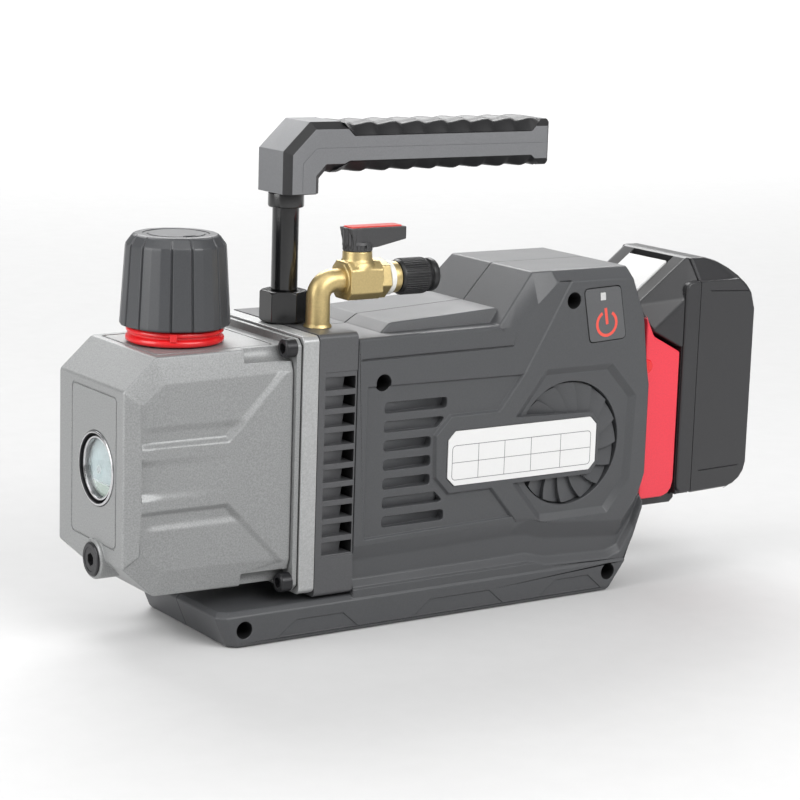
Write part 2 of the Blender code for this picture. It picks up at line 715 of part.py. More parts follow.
def build_housing_half(name, side):
    tag = name.split("_")[0]
    loops = [housing_section(row[0], side, *row[1:]) for row in HOUSING_STATIONS]
    half = loft(name, loops, "housing_plastic")
    add(half, plinth_solid(f"{tag}_plinth", side))
    pad = [
        (140.0, 144.6),
        (202.5, 147.8),
        (206.0, 138.0),
        (134.5, 138.0),
    ]
    y0, y1 = sorted((side * PARTING_GAP, side * 30.0))
    add(half, prism_y(f"{tag}_pad", pad, y0, y1))
    inner = []
    for x, top, top_half, shoulder, waist_top, foot, bottom in HOUSING_STATIONS:
        station = x
        if x == HOUSING_FRONT:
            station = x + WALL
        if x == HOUSING_REAR:
            continue
        lowest = max(bottom, 14.5)
        lift = 8.0 if x == 289.5 else 0.0
        if x == 289.5:
            station = 288.6
        inner.append(
            housing_section(station, side, top - lift, top_half, shoulder - lift, waist_top, foot, lowest, WALL)
        )
    cut(half, loft(f"{tag}_cavity", inner))
    base_inner = [(42.5, -2.0), (42.5, 26.0), (52.5, 38.4), (262.0, 38.4), (262.0, -2.0)]
    cut(half, prism_z(f"{tag}_plinth_cavity", [(x, side * y) for x, y in base_inner], 4.0, 13.9))
    front_hole = turned(f"{tag}_front_hole", "X", (0, 0, SHAFT_Z), [(30.0, 110.0), (30.0, 122.0)], 40)
    cut(half, front_hole)
    wire_hole = turned(f"{tag}_wire_hole", "X", (0, 0, 80.0), [(9.0, 280.0), (9.0, 300.0)], 24)
    cut(half, wire_hole)
    build_side_details(half, side, tag)
    return half


def build_housing():
    left = build_housing_half("left_housing", -1)
    right = build_housing_half("right_housing", 1)
    label_recess = [(x, z) for x, z in LABEL_OUTLINE]
    cut(left, side_cut("label_recess", grown(label_recess, 0.35), -1, 0.6))
    cut(left, side_cut("button_opening", grown(BUTTON_OUTLINE, 0.35), -1, 9.0))
    for index, (x, z) in enumerate(HOUSING_SCREWS):
        build_screw_station(left, right, index, x, z)
    prism_y("label_plate", LABEL_OUTLINE, -41.2, -40.45, "white_label")
    build_power_button()


def grown(outline, amount):
    """Outline moved outward from its centre by a small clearance."""
    cx = sum(x for x, _ in outline) / len(outline)
    cz = sum(z for _, z in outline) / len(outline)
    moved = []
    for x, z in outline:
        length = math.hypot(x - cx, z - cz)
        scale = (length + amount * 1.45) / length
        moved.append((cx + (x - cx) * scale, cz + (z - cz) * scale))
    return moved


def build_screw_station(left, right, index, x, z):
    """Boss, counterbore and long screw joining the two housing halves."""
    centre = (x, 0, z)
    boss_radius = 6.4 if z > 20 else 5.6
    left_boss = turned(f"left_boss{index}", "Y", centre, [(boss_radius, -39.5), (boss_radius, -PARTING_GAP)], 24)
    right_boss = turned(f"right_boss{index}", "Y", centre, [(boss_radius, PARTING_GAP), (boss_radius, 39.5)], 24)
    add(left, left_boss)
    add(right, right_boss)
    recess = turned(f"screw_recess{index}", "Y", centre, [(SCREW_RECESS_RADIUS, -50.0), (SCREW_RECESS_RADIUS, -22.0)], 24)
    shank = turned(f"screw_shank{index}", "Y", centre, [(2.3, -30.0), (2.3, 5.0)], 16)
    thread = turned(f"screw_thread{index}", "Y", centre, [(2.3, -5.0), (2.3, 20.0)], 16)
    cut(left, recess, shank)
    cut(right, thread)
    profile = [(3.4, -25.4), (3.8, -24.9), (3.8, -22.2), (2.0, -22.2), (2.0, 18.0)]
    screw = turned(f"housing_screw_{index + 1}", "Y", centre, profile, 20, "black_steel")
    drive = prism_y(f"screw_drive{index}", [(x + u, z + v) for u, v in hexagon(1.8)], -30.0, -23.6)
    cut(screw, drive)


def build_power_button():
    button = prism_y("power_button", BUTTON_OUTLINE, -41.35, -38.0, "cap_plastic")
    window = [(257.2, 153.4), (260.4, 153.5), (260.9, 149.6), (257.7, 149.5)]
    cut(button, prism_y("led_seat", grown(window, 0.06), -45.0, -39.6))
    prism_y("led_window", window, -41.4, -39.7, "light_plastic")


def build_controller():
    board = box("controller_board", (224.0, 276.0), (-28.0, 28.0), (122.0, 123.6), "green_board")
    heat_sink = box("board_heat_sink", (250.0, 272.0), (-20.0, 20.0), (123.0, 132.0))
    capacitor = turned("board_capacitor", "Z", (236.0, 12.0, 0), [(7.0, 123.0), (7.0, 141.0)], 20)
    add(board, heat_sink, capacitor)


# ------------------------------------------------------------------- battery

RAIL_Z0 = 47.0
RAIL_Z1 = 118.0
PACK_SEAM = 325.5
PACK_TOP = 165.4


def build_dock():
    """Red dock: a back plate with a channel that grips the battery's rails."""
    profile = [(DOCK_FRONT, 43.8), (308.0, 43.8), (314.2, 52.0), (314.2, 119.0), (297.0, 128.0), (DOCK_FRONT, 138.0)]
    dock = prism_y("battery_dock", profile, -36.8, 36.8, "red_plastic")
    lip = [
        (293.0, 45.0),
        (293.0, 42.0),
        (296.0, 38.8),
        (317.0, 38.8),
        (319.5, 41.0),
        (319.5, 43.4),
        (309.0, 43.4),
        (307.0, 45.0),
    ]
    add(dock, prism_y("dock_lip", lip, -31.0, 31.0))
    cut(dock, box("dock_mouth", (302.0, 320.0), (-27.2, 27.2), (48.0, 150.0)))
    cut(dock, box("dock_rail_slot", (302.0, 307.4), (-31.4, 31.4), (48.0, 150.0)))
    cut(dock, box("dock_nose_clearance", (302.0, 320.0), (-31.4, 31.4), (RAIL_Z1 + 1.0, 150.0)))
    cut(dock, box("terminal_seat", (298.0, 304.0), (-16.0, 16.0), (56.0, 84.0)))
    block = box("terminal_block", (298.2, 302.0), (-15.8, 15.8), (56.2, 83.8), "black_rubber")
    for side in (-1, 1):
        y0, y1 = sorted((side * 11.4, side * 12.4))
        add(block, box(f"terminal_blade{side}", (300.0, 310.0), (y0, y1), (60.0, 80.0)))


def build_battery():
    """Cordless tool pack: case with sloped shoulders behind a rail-bearing cover."""
    half = BATTERY_HALF_WIDTH
    shoulder = 28.0
    case_points = []
    for side in (-1, 1):
        case_points.append((PACK_SEAM, side * half, 43.9))
        case_points.append((350.0, side * half, 44.6))
        case_points.append((358.5, side * half, 48.2))
        case_points.append((BATTERY_REAR, side * half, 57.0))
        case_points.append((BATTERY_REAR, side * half, 138.0))
        case_points.append((360.4, side * half, 146.6))
        case_points.append((349.0, side * half, 155.6))
        case_points.append((PACK_SEAM, side * half, 155.6))
        case_points.append((360.0, side * 33.5, 150.4))
        case_points.append((348.8, side * 30.0, 159.5))
        case_points.append((334.7, side * shoulder, PACK_TOP))
        case_points.append((PACK_SEAM, side * shoulder, PACK_TOP))
    case = hull("battery_case", case_points, "battery_plastic")
    cut(case, box("cell_bay", (320.0, 358.5), (-33.5, 33.5), (50.0, 148.0)))
    cover = build_battery_cover(half, shoulder)
    box("cell_pack", (320.0, 357.5), (-32.5, 32.5), (51.0, 147.0), "steel")
    return case, cover


def build_battery_cover(half, shoulder):
    """Front half of the pack: slide rails below, sloped nose above."""
    rear = PACK_SEAM - 0.25
    outline = [(315.0, 43.9), (rear, 43.9), (rear, 155.6), (315.0, 155.6)]
    cover = prism_y("battery_cover", outline, -half, half, "battery_plastic")
    nose = []
    for side in (-1, 1):
        nose.append((315.5, side * 37.2, 120.8))
        nose.append((rear, side * 37.2, 120.8))
        nose.append((298.5, side * 33.0, 130.0))
        nose.append((293.5, side * 25.0, 142.4))
        nose.append((294.2, side * 25.0, 139.0))
        nose.append((324.6, side * 25.5, PACK_TOP))
        nose.append((rear, side * shoulder, PACK_TOP))
        nose.append((rear, side * 37.4, 155.0))
        nose.append((316.5, side * 37.2, 150.0))
    add(cover, hull("nose_solid", nose))
    add(cover, box("rail_neck", (306.0, 318.0), (-26.6, 26.6), (RAIL_Z0 + 1.6, RAIL_Z1)))
    add(cover, box("rail_flange", (302.6, 306.9), (-30.9, 30.9), (RAIL_Z0 + 1.6, RAIL_Z1)))
    cut(cover, box("cover_bay", (319.5, 330.0), (-33.5, 33.5), (50.0, 148.0)))
    for side in (-1, 1):
        y0, y1 = sorted((side * 10.9, side * 12.9))
        cut(cover, box(f"blade_slot{side}", (300.0, 311.0), (y0, y1), (40.0, 82.0)))
    button_top = [(292.0, 141.5), (323.6, 164.6), (323.6, 175.0), (292.0, 175.0)]
    pocket_floor = [(x, z - 5.0) for x, z in button_top[:2]] + button_top[2:]
    cut(cover, prism_y("latch_pocket", pocket_floor, -15.9, 15.9))
    latch = [(295.6, 139.6), (320.0, 157.5), (320.0, 162.7), (295.6, 144.8)]
    prism_y("battery_latch", latch, -15.5, 15.5, "light_plastic")
    return cover


# -------------------------------------------------------------------- handle


def build_handle():
    centre = (HANDLE_X, 0, 0)
    profile = [(6.3, 158.6), (6.3, 197.6), (8.5, 198.2), (8.5, 204.2), (6.0, 204.2), (6.0, 222.0)]
    turned("handle_rod", "Z", centre, profile, 32, "black_steel")
    nut_loops = []
    for radius, z in ((10.8, 143.6), (11.6, 144.4), (11.6, 157.4), (10.8, 158.3)):
        nut_loops.append([(HANDLE_X + u, v, z) for u, v in circle(radius, 6, math.pi / 6.0)])
    loft("handle_nut", nut_loops, "black_steel")
    outer = [
        (91.6, 204.5),
        (91.6, 224.5),
        (105.8, 238.0),
        (241.5, 236.8),
        (241.5, 214.6),
        (114.6, 215.0),
        (109.4, 211.0),
        (109.4, 204.5),
    ]
    grip = chamfered_grip("handle_grip", outer, 2.6)
    rod_hole = turned("grip_rod_hole", "Z", centre, [(6.1, 200.0), (6.1, 224.0)], 32)
    cut(grip, rod_hole)
    upper = [(124.0, 237.2), (129.0, 231.6), (232.5, 231.6), (237.0, 236.2)]
    lower = [(118.0, 215.2), (126.0, 219.4), (231.0, 219.2), (236.0, 214.8)]
    for name, outline, reach in (("upper", upper, 245.0), ("lower", lower, 208.0)):
        left_end = (outline[0][0], reach)
        right_end = (outline[3][0], reach)
        seat = [left_end] + outline + [right_end]
        cut(grip, prism_y(f"pad_seat_{name}", seat, -20.0, 20.0))
    grip_pad("grip_pad_upper", upper, 237.6, 0.3)
    grip_pad("grip_pad_lower", lower, 214.2, 0.3)


def chamfered_grip(name, outline, size):
    """Grip bar: the outline swept across, with its long edges chamfered."""
    loops = []
    inner = inset_outline(outline, size)
    half = HANDLE_HALF_WIDTH
    for y, ring in ((-half, inner), (-half + size, outline), (half - size, outline), (half, inner)):
        loops.append([(x, y, z) for x, z in ring])
    return loft(name, loops, "grip_plastic")


def inset_outline(outline, size):
    """Outline moved inward by size, kept parallel to its own edges."""
    area = 0.0
    count = len(outline)
    for i in range(count):
        x0, z0 = outline[i]
        x1, z1 = outline[(i + 1) % count]
        area += x0 * z1 - x1 * z0
    turn = 1.0 if area > 0 else -1.0
    moved = []
    for i in range(count):
        before = outline[i - 1]
        here = outline[i]
        after = outline[(i + 1) % count]
        n0 = unit_normal(before, here, turn)
        n1 = unit_normal(here, after, turn)
        scale = size / (1.0 + n0[0] * n1[0] + n0[1] * n1[1])
        moved.append((here[0] + (n0[0] + n1[0]) * scale, here[1] + (n0[1] + n1[1]) * scale))
    return moved


def unit_normal(p, q, turn):
    dx = q[0] - p[0]
    dz = q[1] - p[1]
    length = math.hypot(dx, dz)
    return (-dz / length * turn, dx / length * turn)


def grip_pad(name, outline, surface, gap):
    """Soft pad seated in the grip, narrower at its outer surface."""
    up = 1.0 if surface > 225.0 else -1.0
    floor_z = outline[1][1] + up * gap
    x0 = outline[0][0] + gap
    x1 = outline[3][0] - gap
    f0 = outline[1][0] + gap
    f1 = outline[2][0] - gap
    wide = HANDLE_HALF_WIDTH
    narrow = wide - 4.5
    points = []
    for y in (-wide, wide):
        points.append((f0, y, floor_z))
        points.append((f1, y, floor_z))
    for y in (-narrow, narrow):
        points.append((x0 + 1.0, y, surface))
        points.append((x1 - 1.0, y, surface - up * 0.6))
    hull(name, points, "black_rubber")


# -------------------------------------------------------------- intake valve


def build_elbow():
    """Brass elbow swept from the bracket up and round to the valve."""
    radius = 5.6
    bend = 9.0
    corner = (107.0, VALVE_Z)
    path = [((107.0, 136.0), (0.0, 1.0))]
    path.append(((107.0, VALVE_Z - bend), (0.0, 1.0)))
    for i in range(1, 7):
        angle = math.pi * 0.5 * i / 6.0
        x = corner[0] + bend * (1.0 - math.cos(angle))
        z = corner[1] - bend + bend * math.sin(angle)
        path.append(((x, z), (math.sin(angle), math.cos(angle))))
    path.append(((118.6, VALVE_Z), (1.0, 0.0)))
    outer = []
    inner = []
    for index, ((x, z), (tx, tz)) in enumerate(path):
        thin = 4.2 if index == 0 else radius
        outer.append(ring_at(x, z, tx, tz, thin))
        inner.append(ring_at(x, z, tx, tz, 3.0))
        if index == 0:
            outer.append(ring_at(x, 143.5, tx, tz, 4.2))
            outer.append(ring_at(x, 143.7, tx, tz, radius))
            inner.append(ring_at(x, 143.5, tx, tz, 3.0))
            inner.append(ring_at(x, 143.7, tx, tz, 3.0))
    closed_tube("intake_elbow", outer, inner, "brass")


def ring_at(x, z, tx, tz, radius):
    points = []
    for u, v in circle(radius, 20):
        points.append((x + u * tz, VALVE_Y + v, z - u * tx))
    return points


def closed_tube(name, outer, inner, slot):
    """Pipe with an open bore, from matching outer and inner rings."""
    count = len(outer[0])
    rows = len(outer)
    vertices = [p for ring in outer for p in ring] + [p for ring in inner for p in ring]
    offset = rows * count
    faces = []
    for row in range(rows - 1):
        for i in range(count):
            j = (i + 1) % count
            a = row * count
            b = a + count
            faces.append([a + i, a + j, b + j, b + i])
            faces.append([offset + a + j, offset + a + i, offset + b + i, offset + b + j])
    for row in (0, rows - 1):
        a = row * count
        for i in range(count):
            j = (i + 1) % count
            faces.append([a + i, a + j, offset + a + j, offset + a + i])
    return make_object(name, vertices, faces, slot)


def build_valve():
    bore_axis = (0, VALVE_Y, VALVE_Z)
    stem_axis = (VALVE_STEM_X, VALVE_Y, 0)
    outline = [(VALVE_Y + u, VALVE_Z + v) for u, v in chamfered(-9.0, 9.0, -9.0, 9.0, 3.4)]
    body = prism_x("valve_body", outline, 119.0, 138.0, "brass")
    hex_end = prism_x("valve_hex", [(VALVE_Y + u, VALVE_Z + v) for u, v in circle(9.6, 6)], 137.5, 142.6)
    neck = turned("valve_neck", "Z", stem_axis, [(7.0, 170.0), (7.0, 178.0)], 32)
    add(body, hex_end, neck)
    cut(body, turned("valve_ball_room", "X", bore_axis, [(6.9, 115.0), (6.9, 135.4)], 32))
    cut(body, turned("valve_outlet", "X", bore_axis, [(4.4, 130.0), (4.4, 150.0)], 24))
    cut(body, turned("valve_stem_hole", "Z", stem_axis, [(3.06, 165.0), (3.06, 185.0)], 32))
    ball_profile = []
    for i in range(13):
        angle = math.pi * i / 12.0
        ball_profile.append((max(6.4 * math.sin(angle), 0.4), VALVE_Z - 6.4 * math.cos(angle)))
    ball = turned("valve_ball", "Z", stem_axis, ball_profile, 24, "steel")
    cut(ball, turned("ball_bore", "X", bore_axis, [(3.4, 115.0), (3.4, 140.0)], 24))
    cut(ball, box("ball_slot", (VALVE_STEM_X - 5.0, VALVE_STEM_X + 5.0), (VALVE_Y - 1.1, VALVE_Y + 1.1), (169.2, 175.0)))
    stem = turned("valve_stem", "Z", stem_axis, [(3.0, 171.4), (3.0, 186.5)], 32, "brass")
    add(stem, box("stem_tang", (VALVE_STEM_X - 2.4, VALVE_STEM_X + 2.4), (VALVE_Y - 1.0, VALVE_Y + 1.0), (169.4, 172.0)))
    build_lever()
    build_outlet(bore_axis)


def build_lever():
    outline = [
        (120.4, 178.4),
        (135.4, 178.4),
        (135.4, 181.4),
        (154.6, 184.6),
        (154.6, 190.2),
        (153.2, 191.4),
        (121.4, 191.4),
        (120.4, 190.2),
    ]
    lever = prism_y("valve_lever", outline, VALVE_Y - 5.6, VALVE_Y + 5.6, "cap_plastic")
    cut(lever, turned("lever_hub_hole", "Z", (VALVE_STEM_X, VALVE_Y, 0), [(3.02, 170.0), (3.02, 187.0)], 32))
    top = (121.6, 153.4)
    cut(lever, box("insert_seat", top, (VALVE_Y - 4.2, VALVE_Y + 4.2), (190.0, 195.0)))
    box("lever_insert", (top[0] + 0.05, top[1] - 0.05), (VALVE_Y - 4.15, VALVE_Y + 4.15), (190.05, 191.8), "red_plastic")


def build_outlet(axis):
    seal = [(4.6, 142.9), (8.2, 142.9), (8.2, 145.6), (4.6, 145.6)]
    ring_solid("thread_seal", "X", axis, seal, 32, "white_ptfe")
    nipple = [(3.0, 138.0), (4.3, 138.0), (4.3, 145.9), (7.2, 145.9), (7.2, 149.0), (5.6, 149.4), (5.6, 165.0), (4.4, 168.5), (3.0, 168.5)]
    ring_solid("flare_nipple", "X", axis, nipple, 32, "brass")
    cap_profile = [(7.9, 149.8), (8.8, 150.6), (8.8, 169.4), (7.8, 170.4), (7.8, 171.4), (7.0, 173.4)]
    cap = turned("flare_cap", "X", axis, cap_profile, 40, "cap_plastic")
    cut(cap, turned("flare_cap_bore", "X", axis, [(5.72, 145.0), (5.72, 170.0)], 32))


def main():
    clear_scene()
    build_oil_casing()
    build_casing_fittings()
    build_fill_cap()
    build_cartridge()
    build_flange()
    build_bracket()
    build_drive()
    build_housing()
    build_controller()
    build_dock()
    build_battery()
    build_handle()
    build_elbow()
    build_valve()


main()
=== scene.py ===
"""Visual model of a cordless two-stage vacuum pump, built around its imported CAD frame.

Working numbers are millimetres in the part's own layout: X from the oil casing's front
face towards the battery, Y across from the centre plane, and Z up from the floor.
"""

import math

import bmesh
import bpy
from mathutils import Matrix, Vector


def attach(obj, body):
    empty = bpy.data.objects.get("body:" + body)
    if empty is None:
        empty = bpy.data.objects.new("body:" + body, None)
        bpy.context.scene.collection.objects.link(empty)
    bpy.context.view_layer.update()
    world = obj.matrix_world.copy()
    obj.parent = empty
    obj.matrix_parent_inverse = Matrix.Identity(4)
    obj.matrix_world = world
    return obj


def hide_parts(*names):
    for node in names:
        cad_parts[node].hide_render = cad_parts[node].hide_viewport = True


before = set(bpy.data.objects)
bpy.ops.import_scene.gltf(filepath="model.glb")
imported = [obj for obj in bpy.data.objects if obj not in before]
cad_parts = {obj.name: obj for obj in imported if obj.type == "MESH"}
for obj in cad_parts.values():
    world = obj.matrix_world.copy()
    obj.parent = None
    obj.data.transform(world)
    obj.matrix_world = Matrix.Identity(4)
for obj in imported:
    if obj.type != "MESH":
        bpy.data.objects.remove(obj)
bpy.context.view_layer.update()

MM = 0.001
X_MIDDLE = 180.0
SHAFT_Z = 82.5
CASING_REAR = 86.6
HOUSING_HALF = 41.0
PLINTH_HALF = 41.5
HANDLE_X = 100.4
HANDLE_HALF = 14.5
PACK_HALF = 37.5
PACK_BODY_HALF = PACK_HALF - 0.6
PACK_SEAM = 325.5
PACK_TOP = 165.4
SEAM = 0.15

# A point on each axis that round pieces are turned about.
FILL_X = 42.5
FILL = (FILL_X, 0.0, 0.0)
GLASS_Y, GLASS_Z = -6.0, 83.3
GLASS = (0.0, GLASS_Y, GLASS_Z)
DRAIN_Y, DRAIN_Z = -6.0, 41.0
DRAIN = (0.0, DRAIN_Y, DRAIN_Z)
VALVE_X, VALVE_Y, VALVE_Z = 128.0, -20.0, 164.5
VALVE = (0.0, VALVE_Y, VALVE_Z)
STEM = (VALVE_X, VALVE_Y, 0.0)
LEVER_FRONT_X = 126.2

# Sizes below which two points or two face directions count as the same.
MERGE = 0.02
FLAT_ANGLE = 0.004


# ------------------------------------------------------------------ solids


def to_metres(x, y, z):
    return ((x - X_MIDDLE) * MM, y * MM, z * MM)


def place(name, data):
    """A new object in the scene."""
    made = bpy.data.objects.new(name, data)
    bpy.context.collection.objects.link(made)
    return made


def make(name, vertices, faces):
    """A closed mesh object with its faces turned outward."""
    mesh = bpy.data.meshes.new(name)
    mesh.from_pydata([to_metres(*v) for v in vertices], [], faces)
    work = bmesh.new()
    work.from_mesh(mesh)
    bmesh.ops.recalc_face_normals(work, faces=work.faces)
    work.to_mesh(mesh)
    work.free()
    return place(name, mesh)


def loft(name, loops):
    """Solid through closed loops that all have the same number of points."""
    count = len(loops[0])
    vertices = [vertex for loop in loops for vertex in loop]
    faces = [list(range(count))]
    for row in range(len(loops) - 1):
        start = row * count
        for i in range(count):
            j = (i + 1) % count
            faces.append([start + i, start + j, start + count + j, start + count + i])
    last = (len(loops) - 1) * count
    faces.append([last + i for i in range(count)])
    return make(name, vertices, faces)


def prism_x(name, outline, x0, x1):
    return loft(name, [[(x, y, z) for y, z in outline] for x in (x0, x1)])


def prism_y(name, outline, y0, y1):
    return loft(name, [[(x, y, z) for x, z in outline] for y in (y0, y1)])


def prism_z(name, outline, z0, z1):
    return loft(name, [[(x, y, z) for x, y in outline] for z in (z0, z1)])


def rectangle(u0, u1, v0, v1):
    return [(u0, v0), (u1, v0), (u1, v1), (u0, v1)]


def box(name, xs, ys, zs):
    return prism_z(name, rectangle(*xs, *ys), *zs)


def side_prism(name, side, outline, y0, y1):
    """Prism across Y on one side of the centre plane, between two distances from it."""
    return prism_y(name, outline, *sorted((side * y0, side * y1)))


def both_sides(points):
    """The given points on both sides of the centre plane."""
    return [(x, side * y, z) for side in (-1, 1) for x, y, z in points]


def circle(radius, count, turn=0.0):
    angles = [2.0 * math.pi / count * i + turn for i in range(count)]
    return [(radius * math.cos(angle), radius * math.sin(angle)) for angle in angles]


def hexagon(u, v, radius, turn=math.pi / 6.0):
    return [(u + du, v + dv) for du, dv in circle(radius, 6, turn)]


def axis_point(axis, centre, u, v, along):
    """A point beside an axis: u and v across it, along measured on that axis."""
    cx, cy, cz = centre
    if axis == "X":
        return (along, cy + u, cz + v)
    if axis == "Y":
        return (cx + u, along, cz + v)
    return (cx + u, cy + v, along)


def turned(name, axis, centre, profile, count=64):
    """Solid of revolution: profile is (radius, along) from one end to the other."""
    loops = []
    for radius, along in profile:
        loops.append([axis_point(axis, centre, u, v, along) for u, v in circle(radius, count)])
    return loft(name, loops)


def cylinder(name, axis, centre, radius, start, end, count=64):
    return turned(name, axis, centre, [(radius, start), (radius, end)], count)


def turned_row(name, axis, centre, reach, angles, profile, count):
    """The same small turned body at several angles round an axis."""
    made = []
    for i, angle in enumerate(angles):
        spot = axis_point(axis, centre, reach * math.cos(angle), reach * math.sin(angle), 0.0)
        made.append(turned(f"{name}{i}", axis, spot, profile, count))
    return made


def ring_solid(name, axis, centre, profile, count=64):
    """Revolved closed profile that stays clear of the axis."""
    vertices = []
    faces = []
    size = len(profile)
    for u, v in circle(1.0, count):
        for radius, along in profile:
            vertices.append(axis_point(axis, centre, radius * u, radius * v, along))
    for i in range(count):
        j = (i + 1) % count
        for k in range(size):
            m = (k + 1) % size
            faces.append([i * size + k, i * size + m, j * size + m, j * size + k])
    return make(name, vertices, faces)


def hull(name, points):
    """Convex solid around the given points."""
    made = make(name, points, [])
    work = bmesh.new()
    work.from_mesh(made.data)
    result = bmesh.ops.convex_hull(work, input=work.verts)
    loose = [item for item in result["geom_interior"] if isinstance(item, bmesh.types.BMVert)]
    bmesh.ops.delete(work, geom=loose, context="VERTS")
    bmesh.ops.dissolve_limit(work, angle_limit=FLAT_ANGLE, verts=work.verts, edges=work.edges)
    bmesh.ops.recalc_face_normals(work, faces=work.faces)
    work.to_mesh(made.data)
    work.free()
    return made


def bake(piece):
    """Turn the modifiers of a piece into plain mesh."""
    graph = bpy.context.evaluated_depsgraph_get()
    mesh = bpy.data.meshes.new_from_object(piece.evaluated_get(graph))
    piece.modifiers.clear()
    piece.data = mesh


def combine(target, pieces, operation):
    for piece in pieces:
        modifier = target.modifiers.new(piece.name, "BOOLEAN")
        modifier.object = piece
        modifier.operation = operation
        modifier.solver = "EXACT"
    bake(target)
    for piece in pieces:
        bpy.data.objects.remove(piece, do_unlink=True)


def cut(target, *cutters):
    combine(target, cutters, "DIFFERENCE")


def add(target, *pieces):
    combine(target, pieces, "UNION")


def join(target, *pieces):
    """Put separate closed bodies into one mesh object."""
    work = bmesh.new()
    work.from_mesh(target.data)
    for piece in pieces:
        work.from_mesh(piece.data)
        bpy.data.objects.remove(piece, do_unlink=True)
    work.to_mesh(target.data)
    work.free()


def bevel(piece, width, segments=3, angle=12.0, miter="MITER_ARC"):
    modifier = piece.modifiers.new("edges", "BEVEL")
    modifier.width = width * MM
    modifier.segments = segments
    modifier.limit_method = "ANGLE"
    modifier.angle_limit = math.radians(angle)
    modifier.use_clamp_overlap = False
    modifier.miter_outer = miter
    bake(piece)


def clean(piece):
    """Merge doubled points, fill pinholes and join flat neighbours."""
    work = bmesh.new()
    work.from_mesh(piece.data)
    bmesh.ops.remove_doubles(work, verts=work.verts, dist=MERGE * MM)
    bmesh.ops.holes_fill(work, edges=[e for e in work.edges if len(e.link_faces) == 1], sides=8)
    bmesh.ops.dissolve_limit(work, angle_limit=FLAT_ANGLE, verts=work.verts, edges=work.edges)
    work.to_mesh(piece.data)
    work.free()


def mirror(piece):
    """Turn a piece built on the far side into its near-side twin."""
    for vertex in piece.data.vertices:
        vertex.co.y = -vertex.co.y
    piece.data.flip_normals()


def shade(piece):
    """Smooth shading that keeps broad faces flat and puts the turn in the edges."""
    piece.data.shade_smooth()
    piece.data.set_sharp_from_angle(angle=math.radians(50.0))
    modifier = piece.modifiers.new("normals", "WEIGHTED_NORMAL")
    modifier.keep_sharp = True
    modifier.weight = 80
    bake(piece)


def finish(piece, body, material, nodes=(), edge=0.3, segments=2, angle=25.0):
    """Round the edges, give the material, and tie the piece to its CAD body."""
    if edge:
        clean(piece)
        bevel(piece, edge, segments, angle)
    shade(piece)
    piece.data.materials.clear()
    piece.data.materials.append(M[material])
    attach(piece, body)
    if nodes:
        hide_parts(*nodes)


def paint(piece, material, test):
    """Second material on the faces whose centre, in millimetres, and normal pass a test."""
    piece.data.materials.append(M[material])
    index = len(piece.data.materials) - 1
    for face in piece.data.polygons:
        x, y, z = face.center
        if test(x / MM + X_MIDDLE, y / MM, z / MM, face.normal):
            face.material_index = index


def inset_outline(outline, size):
    """Outline moved inward by size, kept parallel to its own edges."""
    count = len(outline)
    area = 0.0
    for i in range(count):
        x0, z0 = outline[i]
        x1, z1 = outline[(i + 1) % count]
        area += x0 * z1 - x1 * z0
    turn = 1.0 if area > 0 else -1.0
    moved = []
    for i in range(count):
        here = outline[i]
        n0 = unit_normal(outline[i - 1], here, turn)
        n1 = unit_normal(here, outline[(i + 1) % count], turn)
        scale = size / (1.0 + n0[0] * n1[0] + n0[1] * n1[1])
        moved.append((here[0] + (n0[0] + n1[0]) * scale, here[1] + (n0[1] + n1[1]) * scale))
    return moved


def unit_normal(p, q, turn):
    dx = q[0] - p[0]
    dz = q[1] - p[1]
    length = math.hypot(dx, dz)
    return (-dz / length * turn, dx / length * turn)


def rounded(outline, radius, steps=5):
    """Outline with each corner replaced by an arc."""
    made = []
    count = len(outline)
    for i in range(count):
        here = Vector(outline[i])
        before = Vector(outline[i - 1]) - here
        after = Vector(outline[(i + 1) % count]) - here
        angle = before.angle(after)
        reach = radius / math.tan(angle / 2.0)
        reach = min(reach, before.length * 0.49, after.length * 0.49)
        start = here + before.normalized() * reach
        end = here + after.normalized() * reach
        for k in range(steps + 1):
            t = k / steps
            spot = start * (1 - t) ** 2 + here * (2 * t * (1 - t)) + end * t**2
            made.append((spot.x, spot.y))
    return made


def chamfered(u0, u1, v0, v1, size):
    """Rectangle with cut corners."""
    return [
        (u0 + size, v0),
        (u1 - size, v0),
        (u1, v0 + size),
        (u1, v1 - size),
        (u1 - size, v1),
        (u0 + size, v1),
        (u0, v1 - size),
        (u0, v0 + size),
    ]


def smoothstep(value):
    value = min(max(value, 0.0), 1.0)
    return value * value * (3.0 - 2.0 * value)


def sculpt(piece, side, xs, zs, step, depth):
    """Divide the faces that look along side*Y into a grid and push them inward by depth(x, z)."""
    work = bmesh.new()
    work.from_mesh(piece.data)
    faces = [f for f in work.faces if f.normal.y * side > 0.94]
    edges = {e for f in faces for e in f.edges}
    geometry = faces + list(edges) + list({v for f in faces for v in f.verts})
    for axis, (low, high) in ((0, xs), (2, zs)):
        normal = [0.0, 0.0, 0.0]
        normal[axis] = 1.0
        count = int((high - low) / step)
        for i in range(count + 1):
            level = low + (high - low) * i / count
            spot = to_metres(level, 0.0, level)
            result = bmesh.ops.bisect_plane(work, geom=geometry, plane_co=spot, plane_no=normal, dist=1e-6)
            geometry = result["geom"]
    for vertex in {g for g in geometry if isinstance(g, bmesh.types.BMVert)}:
        x = vertex.co.x / MM + X_MIDDLE
        z = vertex.co.z / MM
        vertex.co.y -= side * depth(x, z) * MM
    work.to_mesh(piece.data)
    work.free()


# --------------------------------------------------------------- materials


